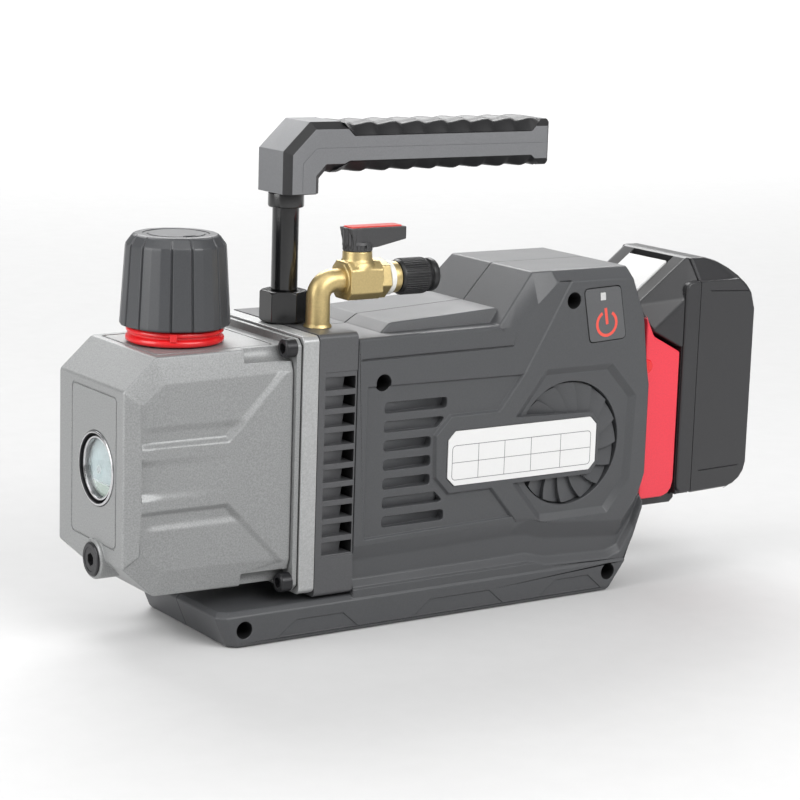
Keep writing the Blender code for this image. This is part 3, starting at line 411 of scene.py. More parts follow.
class Nodes:
    """Small helper for building one material's node tree."""

    def __init__(self, name):
        self.material = bpy.data.materials.new(name)
        self.material.use_nodes = True
        self.tree = self.material.node_tree
        self.shader = self.tree.nodes["Principled BSDF"]
        self.coords = self.tree.nodes.new("ShaderNodeTexCoord").outputs["Object"]

    def link(self, a, b):
        self.tree.links.new(a, b)

    def noise(self, scale, detail=3.0, rough=0.55, stretch=None):
        node = self.tree.nodes.new("ShaderNodeTexNoise")
        node.inputs["Scale"].default_value = scale
        node.inputs["Detail"].default_value = detail
        node.inputs["Roughness"].default_value = rough
        if stretch:
            mapping = self.tree.nodes.new("ShaderNodeMapping")
            mapping.inputs["Scale"].default_value = stretch
            self.link(self.coords, mapping.inputs["Vector"])
            self.link(mapping.outputs["Vector"], node.inputs["Vector"])
        else:
            self.link(self.coords, node.inputs["Vector"])
        return node.outputs["Fac"]

    def spread(self, value, low, high, start=0.3, end=0.7):
        node = self.tree.nodes.new("ShaderNodeMapRange")
        node.inputs["From Min"].default_value = start
        node.inputs["From Max"].default_value = end
        node.inputs["To Min"].default_value = low
        node.inputs["To Max"].default_value = high
        self.link(value, node.inputs["Value"])
        return node.outputs["Result"]

    def mix(self, factor, a, b):
        node = self.tree.nodes.new("ShaderNodeMix")
        node.data_type = "RGBA"
        # The colour inputs are sockets 6 and 7, and the colour result is socket 2.
        for socket, value in ((node.inputs[0], factor), (node.inputs[6], a), (node.inputs[7], b)):
            if isinstance(value, bpy.types.NodeSocket):
                self.link(value, socket)
            elif isinstance(value, tuple):
                socket.default_value = (*value, 1.0)
            else:
                socket.default_value = value
        return node.outputs[2]

    def bump(self, height, distance):
        node = self.tree.nodes.new("ShaderNodeBump")
        node.inputs["Distance"].default_value = distance * MM
        self.link(height, node.inputs["Height"])
        self.link(node.outputs["Normal"], self.shader.inputs["Normal"])


def tint(colour, factor):
    return tuple(min(c * factor, 1.0) for c in colour)


def coated(
    name, colour, rough, grain, bump, contrast, metal=0.0, coat=0.0, specular=0.5, dust=0.05
):
    """Moulded, painted or cast finish: fine grain over a slow change of tone."""
    n = Nodes(name)
    fine = n.noise(grain, 2.0, 0.6)
    slow = n.noise(22.0, 3.0, 0.5)
    dark = tint(colour, 1.0 - contrast)
    light = tint(colour, 1.0 + contrast)
    base = n.mix(n.spread(fine, 0.0, 1.0), dark, light)
    base = n.mix(n.spread(slow, 0.0, dust, 0.45, 0.75), base, tint(colour, 1.5))
    n.link(base, n.shader.inputs["Base Color"])
    n.link(n.spread(slow, rough - 0.04, rough + 0.05), n.shader.inputs["Roughness"])
    n.shader.inputs["Metallic"].default_value = metal
    n.shader.inputs["Specular IOR Level"].default_value = specular
    n.shader.inputs["Coat Weight"].default_value = coat
    n.shader.inputs["Coat Roughness"].default_value = 0.15
    n.bump(fine, bump)
    return n.material


def machined(name, colour, rough):
    """Turned or brushed metal with faint streaks and smudges."""
    n = Nodes(name)
    streak = n.noise(260.0, 4.0, 0.6, (1.0, 1.0, 14.0))
    slow = n.noise(60.0, 2.0, 0.5)
    base = n.mix(n.spread(streak, 0.0, 1.0), tint(colour, 0.88), tint(colour, 1.08))
    n.link(base, n.shader.inputs["Base Color"])
    n.link(n.spread(slow, rough - 0.05, rough + 0.08), n.shader.inputs["Roughness"])
    n.shader.inputs["Metallic"].default_value = 1.0
    n.bump(streak, 0.006)
    return n.material


def clear_glass(name):
    n = Nodes(name)
    slow = n.noise(90.0, 2.0)
    base = n.mix(n.spread(slow, 0.0, 1.0), (0.90, 0.97, 0.97), (0.97, 1.0, 1.0))
    n.link(base, n.shader.inputs["Base Color"])
    n.link(n.spread(slow, 0.02, 0.06), n.shader.inputs["Roughness"])
    n.shader.inputs["Transmission Weight"].default_value = 0.92
    n.shader.inputs["IOR"].default_value = 1.46
    return n.material


def two_levels(name, lower, upper_dark, upper_light, height, rough):
    """Two tones that meet at a height, for the oil behind the window."""
    n = Nodes(name)
    split = n.tree.nodes.new("ShaderNodeSeparateXYZ")
    n.link(n.coords, split.inputs["Vector"])
    blur = 0.3 * MM
    level = n.spread(split.outputs["Z"], 0.0, 1.0, height - blur, height + blur)
    wave = n.noise(120.0, 2.0)
    upper = n.mix(n.spread(wave, 0.0, 1.0), upper_dark, upper_light)
    n.link(n.mix(level, lower, upper), n.shader.inputs["Base Color"])
    n.shader.inputs["Roughness"].default_value = rough
    return n.material


# Each finish: name, colour, roughness, grain, bump in millimetres, contrast, and what differs from plain.
M = {
    "cast": coated("cast_paint", (0.30, 0.305, 0.305), 0.46, 1500.0, 0.03, 0.16, metal=0.42),
    "bright": coated("bright_cast", (0.43, 0.435, 0.435), 0.42, 1500.0, 0.025, 0.12, metal=0.5),
    "dark_alloy": coated("dark_alloy", (0.085, 0.086, 0.09), 0.42, 1300.0, 0.02, 0.08, metal=0.15),
    "black_steel": coated(
        "black_steel", (0.006, 0.006, 0.0065), 0.19, 900.0, 0.006, 0.1, specular=0.6, coat=0.3
    ),
    "black_oxide": coated("black_oxide", (0.02, 0.02, 0.022), 0.34, 900.0, 0.008, 0.12, metal=0.3),
    "steel": machined("bright_steel", (0.62, 0.62, 0.63), 0.22),
    "iron": coated("cast_iron", (0.16, 0.16, 0.165), 0.6, 900.0, 0.06, 0.2, metal=0.7),
    "housing": coated("housing_plastic", (0.068, 0.070, 0.074), 0.42, 1600.0, 0.02, 0.07),
    "cap": coated("cap_plastic", (0.056, 0.058, 0.062), 0.38, 1400.0, 0.015, 0.06),
    "grip": coated("grip_plastic", (0.17, 0.173, 0.18), 0.45, 1500.0, 0.015, 0.06),
    "rubber": coated("black_rubber", (0.012, 0.012, 0.013), 0.4, 1200.0, 0.02, 0.1),
    "soft": coated("grip_edge_rubber", (0.016, 0.016, 0.017), 0.5, 1200.0, 0.02, 0.1),
    "red": coated("red_plastic", (0.75, 0.012, 0.016), 0.28, 1200.0, 0.006, 0.05, coat=0.25),
    "dock_red": coated("dock_plastic", (0.80, 0.045, 0.07), 0.4, 1300.0, 0.012, 0.05),
    "lever_red": coated("lever_red", (0.70, 0.045, 0.035), 0.4, 1200.0, 0.01, 0.05),
    "brass": coated("brass", (0.60, 0.47, 0.225), 0.40, 1000.0, 0.03, 0.07, metal=0.9),
    "lever": coated("lever_plastic", (0.05, 0.05, 0.052), 0.36, 1300.0, 0.012, 0.08),
    "knurl": coated("flare_cap_plastic", (0.016, 0.016, 0.017), 0.38, 1200.0, 0.01, 0.1),
    "seal": coated("white_seal", (0.82, 0.82, 0.78), 0.45, 1200.0, 0.01, 0.03),
    "label": coated("label_film", (0.78, 0.78, 0.775), 0.35, 900.0, 0.002, 0.01),
    "ink": coated("label_ink", (0.14, 0.14, 0.15), 0.5, 900.0, 0.002, 0.05),
    "symbol": coated("symbol_red", (0.80, 0.09, 0.065), 0.4, 1200.0, 0.003, 0.03),
    "button": coated("button_film", (0.098, 0.1, 0.104), 0.4, 1600.0, 0.012, 0.05),
    "light": coated("light_plastic", (0.56, 0.56, 0.555), 0.35, 1300.0, 0.01, 0.03),
    "pack": coated("pack_plastic", (0.03, 0.03, 0.032), 0.32, 1400.0, 0.012, 0.06),
    "pack_side": coated("pack_side_plastic", (0.034, 0.034, 0.036), 0.4, 1500.0, 0.015, 0.06),
    # Painted shade: a near-black colour for the faces inside the bracket gaps, the housing screw recesses and
    # the latch pocket, where shade falls.
    "recess": coated("recess_painted_shade", (0.012, 0.012, 0.013), 0.6, 1000.0, 0.01, 0.1),
    "glass": clear_glass("clear_glass"),
    "oil": two_levels("oil_window", (0.52, 0.62, 0.52), (0.50, 0.60, 0.63), (0.70, 0.79, 0.82), 0.0757, 0.3),
    "vane": coated("vane_composite", (0.07, 0.055, 0.035), 0.5, 800.0, 0.02, 0.2),
    "copper": coated("copper_windings", (0.45, 0.16, 0.07), 0.35, 700.0, 0.05, 0.25, metal=0.8),
    "board": coated("circuit_board", (0.02, 0.13, 0.045), 0.4, 500.0, 0.02, 0.25),
    "gasket": coated("paper_gasket", (0.02, 0.02, 0.02), 0.7, 1200.0, 0.02, 0.2),
}


# -------------------------------------------------------------- oil casing


# Relief cast into the casing's sides: heights from the shaft's axis, and where slopes begin along X.
PANEL_START = 13.8
PANEL_TURN_X = 51.5
PANEL_SLOPE = 1.04
PANEL_SLOPE_LENGTH = 1.44
PANEL_DEPTH = 1.6
LEDGE_END = 24.8
LEDGE_DEPTH = 1.1
GROOVE_HALF = 10.2


def casing_relief(x, z):
    """How far the cast side lies under its ridges, from the two recessed panels and the middle groove."""
    u = abs(z - SHAFT_Z)
    inside = u - PANEL_START
    edge = min(inside, (inside - (x - PANEL_TURN_X) * PANEL_SLOPE) / PANEL_SLOPE_LENGTH)
    fade = smoothstep((x - 5.5) / 9.0)
    ledge = smoothstep((LEDGE_END - u) / 4.4) * smoothstep((68.0 - x) / 6.0)
    depth = smoothstep(edge / 3.2) * (PANEL_DEPTH + LEDGE_DEPTH * ledge * fade)
    groove = smoothstep((GROOVE_HALF - u) / 4.6)
    depth += groove * (1.3 * smoothstep((20.0 - x) / 13.0) + 0.9 * smoothstep((60.0 - x) / 40.0))
    return depth * smoothstep((83.0 - x) / 2.0)


def build_casing():
    corners = [
        # x, distance from the centre plane, height from the shaft's axis
        (0.0, 32.2, 40.5),
        (7.5, 36.4, 34.0),
        (19.5, 36.65, 43.2),
        (16.0, 32.0, 55.0),
        (84.0, 38.0, 44.2),
        (84.0, 33.52, 55.8),
    ]
    points = []
    for sy in (-1, 1):
        for sz in (-1, 1):
            points += [(x, sy * y, SHAFT_Z + sz * z) for x, y, z in corners]
    casing = hull("oil_casing_body", points)
    bevel(casing, 0.9, 3, 8.0)
    for side in (-1, 1):
        sculpt(casing, side, (7.0, 83.6), (38.0, 127.0), 0.75, casing_relief)
    rim = prism_x("rim", rounded(chamfered(-40.0, 40.0, 23.0, 142.0, 3.0), 2.0), 84.2, CASING_REAR)
    boss = turned("boss", "X", DRAIN, [(8.4, -2.0), (9.3, -1.1), (9.3, 40.0)])
    web_outline = [(70.0, 136.5), (83.0, 138.4), (86.0, 138.4), (86.0, 130.0), (70.0, 130.0)]
    add(casing, rim, boss, prism_y("top_web", web_outline, -30.0, 30.0))
    groove = prism_x("face_groove", rounded(chamfered(-25.5, 19.5, 49.0, 119.5, 1.5), 5.0), -3.0, 0.7)
    cut(groove, prism_x("island", rounded(chamfered(-24.8, 18.8, 49.7, 118.8, 1.5), 4.4), -5.0, 3.0))
    pad = cylinder("glass_pad", "X", GLASS, 18.6, -6.0, 4.0)
    cut(groove, pad, cylinder("boss_pad", "X", DRAIN, 10.6, -6.0, 4.0))
    seat = cylinder("glass_seat", "X", GLASS, 17.5, -3.0, 4.0)
    well = cylinder("glass_well", "X", GLASS, 13.6, -3.0, 16.0)
    drain = cylinder("drain_seat", "X", DRAIN, 8.25, -8.0, 1.0)
    fill = cylinder("fill_seat", "Z", FILL, 15.2, 120.0, 150.0)
    cut(casing, groove, seat, well, drain, fill)
    top_groove = prism_z("top_groove", rounded(rectangle(18.5, 79.0, -27.5, 27.5), 2.5), 137.4, 142.0)
    cut(top_groove, prism_z("island", rounded(rectangle(19.3, 78.2, -26.7, 26.7), 2.0), 136.0, 143.0))
    cut(top_groove, cylinder("collar_keep", "Z", FILL, 22.5, 130.0, 150.0))
    cut(casing, top_groove)
    pockets = []
    for y, z in casing_corners():
        pockets.append(cylinder(f"pocket{y}_{z}", "X", (0, y, z), 6.2, 60.0, 84.2, 40))
    cut(casing, *pockets)
    finish(casing, "pump", "cast", ("oil_casing",), 0.3, 2, 42.0)


def casing_corners():
    return [(sy * 36.4, SHAFT_Z + sz * 55.3) for sy in (-1, 1) for sz in (1, -1)]


def build_sight_glass():
    profile = [(17.3, 3.8), (17.3, -0.2), (16.9, -0.6), (16.2, -0.6), (15.8, 0.0), (15.8, 2.6)]
    profile += [(15.0, 2.6), (14.6, 0.5), (13.9, 0.5), (13.4, 1.2), (13.4, 3.8)]
    ring = ring_solid("sight_glass_bezel", "X", GLASS, profile, 96)
    finish(ring, "pump", "steel", ("sight_glass_ring",), 0.0)

    def in_channel(x, y, z, normal):
        return 14.7 < math.hypot(y - GLASS_Y, z - GLASS_Z) < 16.3 and x < 3.0

    paint(ring, "black_oxide", in_channel)
    lens_radius = 13.3
    lens_crown = 0.9
    dome = [(lens_radius, 4.4)]
    for i in range(9):
        angle = math.pi * 0.5 * i / 9.0
        dome.append((lens_radius * math.cos(angle), 3.0 - lens_crown * math.sin(angle)))
    lens = turned("sight_glass_lens", "X", GLASS, dome, 96)
    back = cylinder("oil_window", "X", GLASS, lens_radius, 5.2, 8.5, 96)
    dot = cylinder("window_dot", "X", (0, GLASS_Y + 4.5, GLASS_Z - 2.0), 2.1, 5.0, 6.0, 40)
    line = box("level_line", (5.05, 5.6), (GLASS_Y - 10.2, GLASS_Y + 10.2), (75.5, 76.1))
    join(back, dot, line)
    finish(lens, "pump", "glass", ("sight_glass",), 0.0)
    finish(back, "pump", "oil", (), 0.0)
    paint(back, "black_oxide", lambda x, y, z, normal: x < 5.15)
    paint(back, "steel", lambda x, y, z, normal: x < 5.05)


def build_drain_plug():
    profile = [(7.3, -3.0), (7.9, -2.5), (7.9, 0.6), (4.9, 0.6), (4.9, 12.0)]
    plug = turned("drain_plug_head", "X", DRAIN, profile)
    cut(plug, prism_x("socket", hexagon(DRAIN_Y, DRAIN_Z, 3.1), -6.0, 1.5))
    cut(plug, cylinder("plug_dish", "X", DRAIN, 5.6, -6.0, -2.7))
    finish(plug, "drain_plug_body", "black_oxide", ("drain_plug",), 0.2)


def build_casing_screws():
    for index, (y, z) in enumerate(casing_corners()):
        profile = [(3.9, 78.4), (4.5, 79.0), (4.5, 84.3), (3.0, 84.3), (3.0, 93.4)]
        screw = turned(f"casing_screw_head_{index + 1}", "X", (0, y, z), profile, 48)
        cut(screw, prism_x("socket", hexagon(y, z, 2.6), 76.0, 81.5))
        finish(screw, "pump", "black_oxide", (f"casing_screw_{index + 1}",), 0.2)


# --------------------------------------------------------- fill cap, collar


def build_fill_cap():
    profile = [(14.8, 126.0), (14.8, 138.2), (21.6, 138.3), (22.5, 138.8), (22.8, 139.8), (22.6, 140.8)]
    profile += [(21.9, 141.4), (20.9, 141.8), (20.9, 142.5), (22.2, 142.9), (22.5, 143.6), (22.3, 144.6)]
    profile += [(21.4, 145.2), (18.5, 145.4), (10.6, 145.4), (10.6, 126.0)]
    collar = ring_solid("fill_collar_ring", "Z", FILL, profile, 96)
    tab = box("tab", (FILL_X - 23.0, FILL_X - 20.0), (-1.6, 1.6), (140.9, 144.9))
    bevel(tab, 0.4, 2, 30.0)
    turn_points(tab, FILL_X, 0.0, 60.0)
    join(collar, tab)
    finish(collar, "pump", "red", ("fill_collar",), 0.0)
    rows = [
        # radius, height, how far the ribs stand out
        (24.6, 145.7, 1.0),
        (25.2, 146.4, 1.0),
        (25.2, 147.6, 1.0),
        (23.0, 182.0, 1.0),
        (22.7, 183.3, 0.9),
        (20.2, 186.9, 0.35),
        (18.9, 187.8, 0.0),
        (16.8, 187.9, 0.0),
    ]
    loops = []
    for radius, z, ribs in rows:
        loops.append([(FILL_X + u, v, z) for u, v in cap_section(radius, ribs)])
    cap = loft("fill_cap_knob", loops)
    hub = turned("hub", "Z", FILL, [(13.4, 186.4), (13.1, 187.9)])
    trim = box("trim", (FILL_X - 3.2, FILL_X + 3.2), (-16.2, -12.6), (186.4, 187.85))
    cut(cap, turned("dish", "Z", FILL, [(15.2, 187.3), (15.6, 192.0)]))
    add(cap, hub, trim)
    finish(cap, "fill_cap_body", "cap", ("fill_cap",), 0.35, 2, 14.0)


def turn_points(piece, cx, cy, degrees):
    """Turn a piece about a vertical axis."""
    centre = Vector(to_metres(cx, cy, 0.0))
    turn = Matrix.Rotation(math.radians(degrees), 4, "Z")
    piece.data.transform(Matrix.Translation(centre) @ turn @ Matrix.Translation(-centre))


def cap_section(radius, ribs):
    """Six broad flats between six narrow ones, with a fine groove beside each narrow flat."""
    rib_half = 0.235
    groove = [(rib_half, 0.995), (0.215, 0.945), (0.195, 0.945), (0.175, 0.985)]
    points = []
    for i in range(6):
        middle = 2.0 * math.pi * i / 6.0 + 0.16
        for offset, scale in [(-a, s) for a, s in groove] + groove[::-1]:
            reach = radius * (1.0 - (1.0 - scale) * ribs)
            points.append((reach * math.cos(middle + offset), reach * math.sin(middle + offset)))
        for share in (0.32, 0.68):
            angle = middle + rib_half + (math.pi / 3.0 - 2.0 * rib_half) * share
            reach = radius * (1.0 + 0.012 * ribs)
            points.append((reach * math.cos(angle), reach * math.sin(angle)))
    return points


# --------------------------------------------------------- flange, bracket


def build_bracket():
    """Finned bracket: ten windows a side, each with a sloped vane and a gap behind it whose inner faces are
    painted near-black as shade.
    """
    window_pitch = 8.72
    window_height = 6.0
    vane_ends = ((99.9, 0.9), (112.4, 3.4))
    outline = rounded(chamfered(-40.6, 40.6, 18.6, 143.3, 1.5), 2.0)
    bracket = prism_x("bracket_body", outline, 95.9, 117.0)
    cutters = []
    for side in (-1, 1):
        cutters.append(side_prism(f"frame{side}", side, rectangle(99.4, 118.0, 37.4, 125.4), 40.1, 45.0))
        for i in range(10):
            low = 38.4 + i * window_pitch
            high = low + window_height
            points = []
            for z, lean in ((low, 1.6), (high, 0.0)):
                for x, depth in vane_ends:
                    points.append((x, side * (40.4 - depth - lean), z))
                    points.append((x, side * 46.0, z))
            cutters.append(hull(f"vane{side}_{i}", points))
            across = sorted((side * 26.0, side * 46.0))
            cutters.append(box(f"gap{side}_{i}", (112.2, 116.2), across, (low, high)))
    cut(bracket, *cutters)
    finish(bracket, "pump", "dark_alloy", ("finned_bracket",), 0.25, 2, 20.0)

    # Painted shade: the faces inside the gaps behind the vanes get the near-black recess colour.
    def deep(x, y, z, normal):
        return 112.3 < x < 116.3 and abs(y) < 37.0 and 38.0 < z < 125.0

    paint(bracket, "recess", deep)


def build_flange():
    outline = rounded(chamfered(-41.0, 41.0, 21.0, 143.0, 2.0), 2.5)
    plate = prism_x("flange_casting", outline, 87.2, 95.6)
    step = prism_x("flange_step", rounded(chamfered(-38.5, 38.5, 24.0, 140.0, 2.0), 2.0), 86.9, 88.0)
    add(plate, step)
    finish(plate, "pump", "bright", ("flange_plate",), 0.5, 3, 25.0)


# ----------------------------------------------------------------- housing

HOUSING_STATIONS = [
    # x, top, top half width, shoulder, waist top, foot, bottom
    (117.4, 140.0, 39.4, 138.6, 42.0, 20.5, 8.0),
    (198.0, 140.8, 39.0, 138.8, 43.4, 20.8, 8.0),
    (209.0, 153.0, 37.0, 138.4, 43.5, 20.9, 8.0),
    (220.0, 165.0, 34.5, 148.5, 43.0, 21.0, 8.0),
    (231.5, 165.0, 34.5, 159.8, 40.0, 18.0, 8.0),
    (270.0, 165.0, 34.5, 159.8, 36.5, 16.5, 8.0),
    (278.0, 165.0, 34.5, 159.5, 36.0, 19.0, 9.5),
    (286.0, 141.5, 37.5, 139.5, 46.0, 31.0, 26.0),
    (289.5, 114.5, 39.0, 113.0, 54.0, 40.0, 36.0),
    (291.5, 105.0, 39.5, 104.0, 60.0, 44.0, 41.0),
]

# Outlines in the side view, as (x, z).
LABEL = [
    (173.5, 91.3), (169.3, 87.2), (169.3, 68.6), (173.5, 64.5),
    (254.8, 64.5), (258.6, 68.4), (258.6, 87.4), (254.8, 91.3),
]
BUTTON = [(247.4, 155.4), (252.4, 128.8), (274.6, 129.8), (269.6, 156.2)]
OCTAGON = [
    (206.0, 92.0), (226.6, 117.4), (267.2, 117.4), (283.4, 100.0),
    (281.6, 57.0), (268.2, 40.6), (225.6, 40.6), (207.0, 63.0),
]
BAND = [
    (110.0, 170.0), (246.3, 170.0), (236.2, 153.6), (213.9, 116.4), (199.4, 98.4),
    (171.2, 98.3), (162.6, 89.6), (163.2, 69.4), (171.0, 61.2), (196.0, 61.4),
    (212.8, 41.8), (230.8, 19.0), (110.0, 19.0),
]
PANEL = [
    (122.5, 117.2), (213.6, 116.2), (199.2, 98.5), (171.1, 98.4), (162.5, 89.7),
    (163.1, 69.4), (170.9, 61.1), (195.9, 61.3), (210.0, 44.6), (122.5, 42.8),
]
# The flat pad left standing round the label, where the octagon and the grille stop short.
LABEL_PLATE = [
    (175.0, 96.0), (166.0, 89.0), (166.0, 67.0), (174.0, 62.0),
    (255.8, 62.0), (260.6, 67.4), (260.6, 88.4), (255.8, 93.6),
]
FAN_X, FAN_Z, FAN_RADIUS = 243.0, 78.6, 31.2
WAIST_DEPTH = 3.6
PLINTH_LEVEL = 17.3
VENT_LEFT = 133.5
VENT_TOP = 108.2
VENT_PITCH = 9.2
VENT_HEIGHT = 5.2
# Centre of each housing screw, as (x, z).
SCREWS = [(131.9, 118.1), (241.5, 150.4), (270.2, 9.8), (58.5, 8.3)]


def housing_section(x, top, top_half, shoulder, waist_top, foot, bottom):
    """Half section of the housing body, from just past the parting plane round the outside."""
    half = HOUSING_HALF
    waist = half - WAIST_DEPTH
    section = [
        (-4.0, top),
        (top_half, top),
        (half, shoulder),
        (half, waist_top),
        (waist, waist_top - 9.0),
        (waist, foot + 3.5),
        (half - 0.3, foot),
        (half - 0.3, bottom),
        (-4.0, bottom),
    ]
    return [(x, y, z) for y, z in section]


def plinth(name):
    """Base plinth with a bevelled upper edge, a raked front and an upswept rear."""
    rows = (
        # height, inset from the side, front, rear
        (0.0, 1.2, 51.8, 270.0),
        (1.4, 0.0, 50.6, 271.5),
        (14.8, 0.0, 45.0, 281.5),
        (17.2, 2.6, 47.4, 281.5),
    )
    loops = []
    for z, inset, front, rear in rows:
        edge = PLINTH_HALF - inset
        corners = [(front, -3.0), (front, edge - 4.0), (front + 4.0, edge), (rear, edge), (rear, -3.0)]
        loops.append([(x, y, z) for x, y in corners])
    return loft(name, loops)


def side_pocket(name, outline, depth, slope):
    """Cutter for a recess in the flat side, with sloped walls of the given width."""
    deep = inset_outline(outline, slope)
    rows = ((HOUSING_HALF + 6.0, outline), (HOUSING_HALF, outline), (HOUSING_HALF - depth, deep))
    return loft(name, [[(x, y, z) for x, z in ring] for y, ring in rows])


def bar(p, q, width):
    """Outline of a bar between two points in a side view."""
    dx = q[0] - p[0]
    dz = q[1] - p[1]
    half = width * 0.5 / math.hypot(dx, dz)
    nx = -dz * half
    nz = dx * half
    return [(p[0] + nx, p[1] + nz), (q[0] + nx, q[1] + nz), (q[0] - nx, q[1] - nz), (p[0] - nx, p[1] - nz)]


def vent_cutters():
    """Cutters for seven louvres: each floor starts near the surface and runs inward as it goes down."""
    made = []
    for i in range(7):
        top = VENT_TOP - i * VENT_PITCH
        low = top - VENT_HEIGHT
        right = 169.0 if i in (0, 1, 5, 6) else 160.4
        corners = rectangle(VENT_LEFT, right, top, low)
        if i == 1:
            corners[2] = (right - 5.5, low)
        if i == 5:
            corners[1] = (right - 5.5, top)
        outline = rounded(corners, 1.7, 3)
        floor = []
        for x, z in outline:
            down = (top - z) / VENT_HEIGHT
            along = smoothstep((x - right + 7.0) / 7.0)
            floor.append((x, HOUSING_HALF - 2.3 - 1.9 * down - 3.2 * along, z))
        mouth = [(x, HOUSING_HALF + 4.0, z) for x, z in outline]
        made.append(loft(f"vent{i}", [mouth, floor]))
    return made


def grille_rows(rings):
    """Radial rows of points over the grille: each blade is a ramp that ends in a step."""
    blades = 16
    inner = 9.0
    outer = FAN_RADIUS - 0.9
    sink = 2.7
    height = 2.7
    steps = 8
    last_share = 0.985
    ramp = [(min(s / steps, last_share), height * s / steps) for s in range(steps + 1)] + [(1.0, 0.0)]
    rows = []
    for i in range(blades):
        for turn, rise in ramp:
            row = []
            for j in range(rings + 1):
                radius = inner + (outer - inner) * j / rings
                sweep = 0.34 * ((radius - inner) / (FAN_RADIUS - inner)) ** 1.3
                angle = 2.0 * math.pi * (i + turn) / blades + sweep
                y = HOUSING_HALF - sink - rise * (0.25 + 0.75 * j / rings)
                row.append((FAN_X + radius * math.cos(angle), y, FAN_Z + radius * math.sin(angle)))
            rows.append(row)
    return rows


def grille_disc(name):
    """Turbine grille: swept blades over a solid back."""
    rings = 14
    rows = grille_rows(rings)
    total = len(rows)
    width = rings + 1
    vertices = [point for row in rows for point in row]
    base = len(vertices)
    for row in rows:
        vertices += [(x, HOUSING_HALF - 7.0, z) for x, _, z in (row[0], row[-1])]
    faces = []
    for r in range(total):
        s = (r + 1) % total
        for j in range(rings):
            faces.append([r * width + j, r * width + j + 1, s * width + j + 1, s * width + j])
        faces.append([r * width + rings, base + r * 2 + 1, base + s * 2 + 1, s * width + rings])
        faces.append([r * width, s * width, base + s * 2, base + r * 2])
        faces.append([base + r * 2, base + s * 2, base + s * 2 + 1, base + r * 2 + 1])
    return make(name, vertices, faces)


def hold_inside(body):
    """Keep the bevelled edges within the flat sides of the housing and its plinth."""
    for vertex in body.data.vertices:
        limit = (HOUSING_HALF if vertex.co.z > PLINTH_LEVEL * MM else PLINTH_HALF) * MM
        vertex.co.y = min(vertex.co.y, limit)


def housing_solid(name):
    """Far half of the housing: shell, base plinth and the raised pad on its deck."""
    body = loft(name, [housing_section(*row) for row in HOUSING_STATIONS])
    bevel(body, 0.8, 3, 14.0, "MITER_SHARP")
    base = plinth("plinth")
    bevel(base, 0.7, 3, 20.0)
    pad_rows = [
        # height, start, end, half width, rise towards the battery
        (138.0, 134.0, 207.0, 31.4, 0.0),
        (140.4, 134.8, 206.0, 31.3, 0.0),
        (144.4, 141.4, 202.8, 29.6, 3.2),
    ]
    loops = []
    for z, x0, x1, y, rise in pad_rows:
        loops.append([(x0, -2.0, z), (x0, y, z), (x1, y, z + rise), (x1, -2.0, z + rise)])
    pad = loft("pad", loops)
    bevel(pad, 0.8, 3, 20.0)
    add(body, base)
    add(body, pad)
    cut(body, box("seam_trim", (0.0, 400.0), (-30.0, SEAM), (-20.0, 260.0)))
    return body


def build_housing_half(name, near, node):
    body = housing_solid(name)
    octagon = side_pocket("octagon", OCTAGON, depth=2.3, slope=3.4)
    cut(octagon, prism_y("label_plate", LABEL_PLATE, 20.0, 60.0))
    dish = cylinder("dish", "Y", (FAN_X, 0, FAN_Z), FAN_RADIUS, 34.5, 50.0, 96)
    if near:
        cut(dish, prism_y("label_plate", LABEL_PLATE, 20.0, 60.0))
    cut(body, side_pocket("band", BAND, depth=0.55, slope=0.7))
    cut(body, side_pocket("panel", PANEL, depth=1.8, slope=1.0))
    cut(body, octagon)
    cut(body, dish)
    cutters = vent_cutters()
    for i, (x0, x1) in enumerate(((76.0, 120.5), (151.5, 205.0), (227.0, 266.0))):
        relief = [(x0, 2.2), (x0 + 10.5, 9.6), (x1 - 8.5, 9.6), (x1, 2.2)]
        cutters.append(prism_y(f"relief{i}", relief, 40.9, 50.0))
    cutters.append(prism_y("line", bar((119.0, 129.6), (206.0, 130.4), 0.5), 40.25, 50.0))
    for index, (x, z) in enumerate(SCREWS):
        cutters.append(cylinder(f"recess{index}", "Y", (x, 0, z), 4.1, 22.0, 50.0, 48))
    if near:
        cutters.append(prism_y("label_seat", rounded(grown(LABEL, 0.35), 0.8), 40.4, 60.0))
        cutters.append(prism_y("button_seat", rounded(grown(BUTTON, 0.35), 2.6), 36.0, 60.0))
    cut(body, *cutters)
    clean(body)
    bevel(body, 0.35, 2, 24.0)
    hold_inside(body)
    join(body, grille_disc("grille"))
    if near:
        mirror(body)
    finish(body, "pump", "housing", (node,), 0.0)

    # Painted shade: the walls and deep floors of the screw recesses get the near-black recess colour.
    def painted_hole_shade(x, y, z, normal):
        if not any(math.hypot(x - hole_x, z - hole_z) < 4.3 for hole_x, hole_z in SCREWS):
            return False
        return abs(y) < 40.0 and (abs(normal.y) < 0.99 or abs(y) < 30.0)

    paint(body, "recess", painted_hole_shade)


def grown(outline, amount):
    """Outline moved outward from its centre by a small clearance."""
    cx = sum(x for x, _ in outline) / len(outline)
    cz = sum(z for _, z in outline) / len(outline)
    moved = []
    for x, z in outline:
        length = math.hypot(x - cx, z - cz)
        scale = (length + amount * 1.45) / length
        moved.append((cx + (x - cx) * scale, cz + (z - cz) * scale))
    return moved


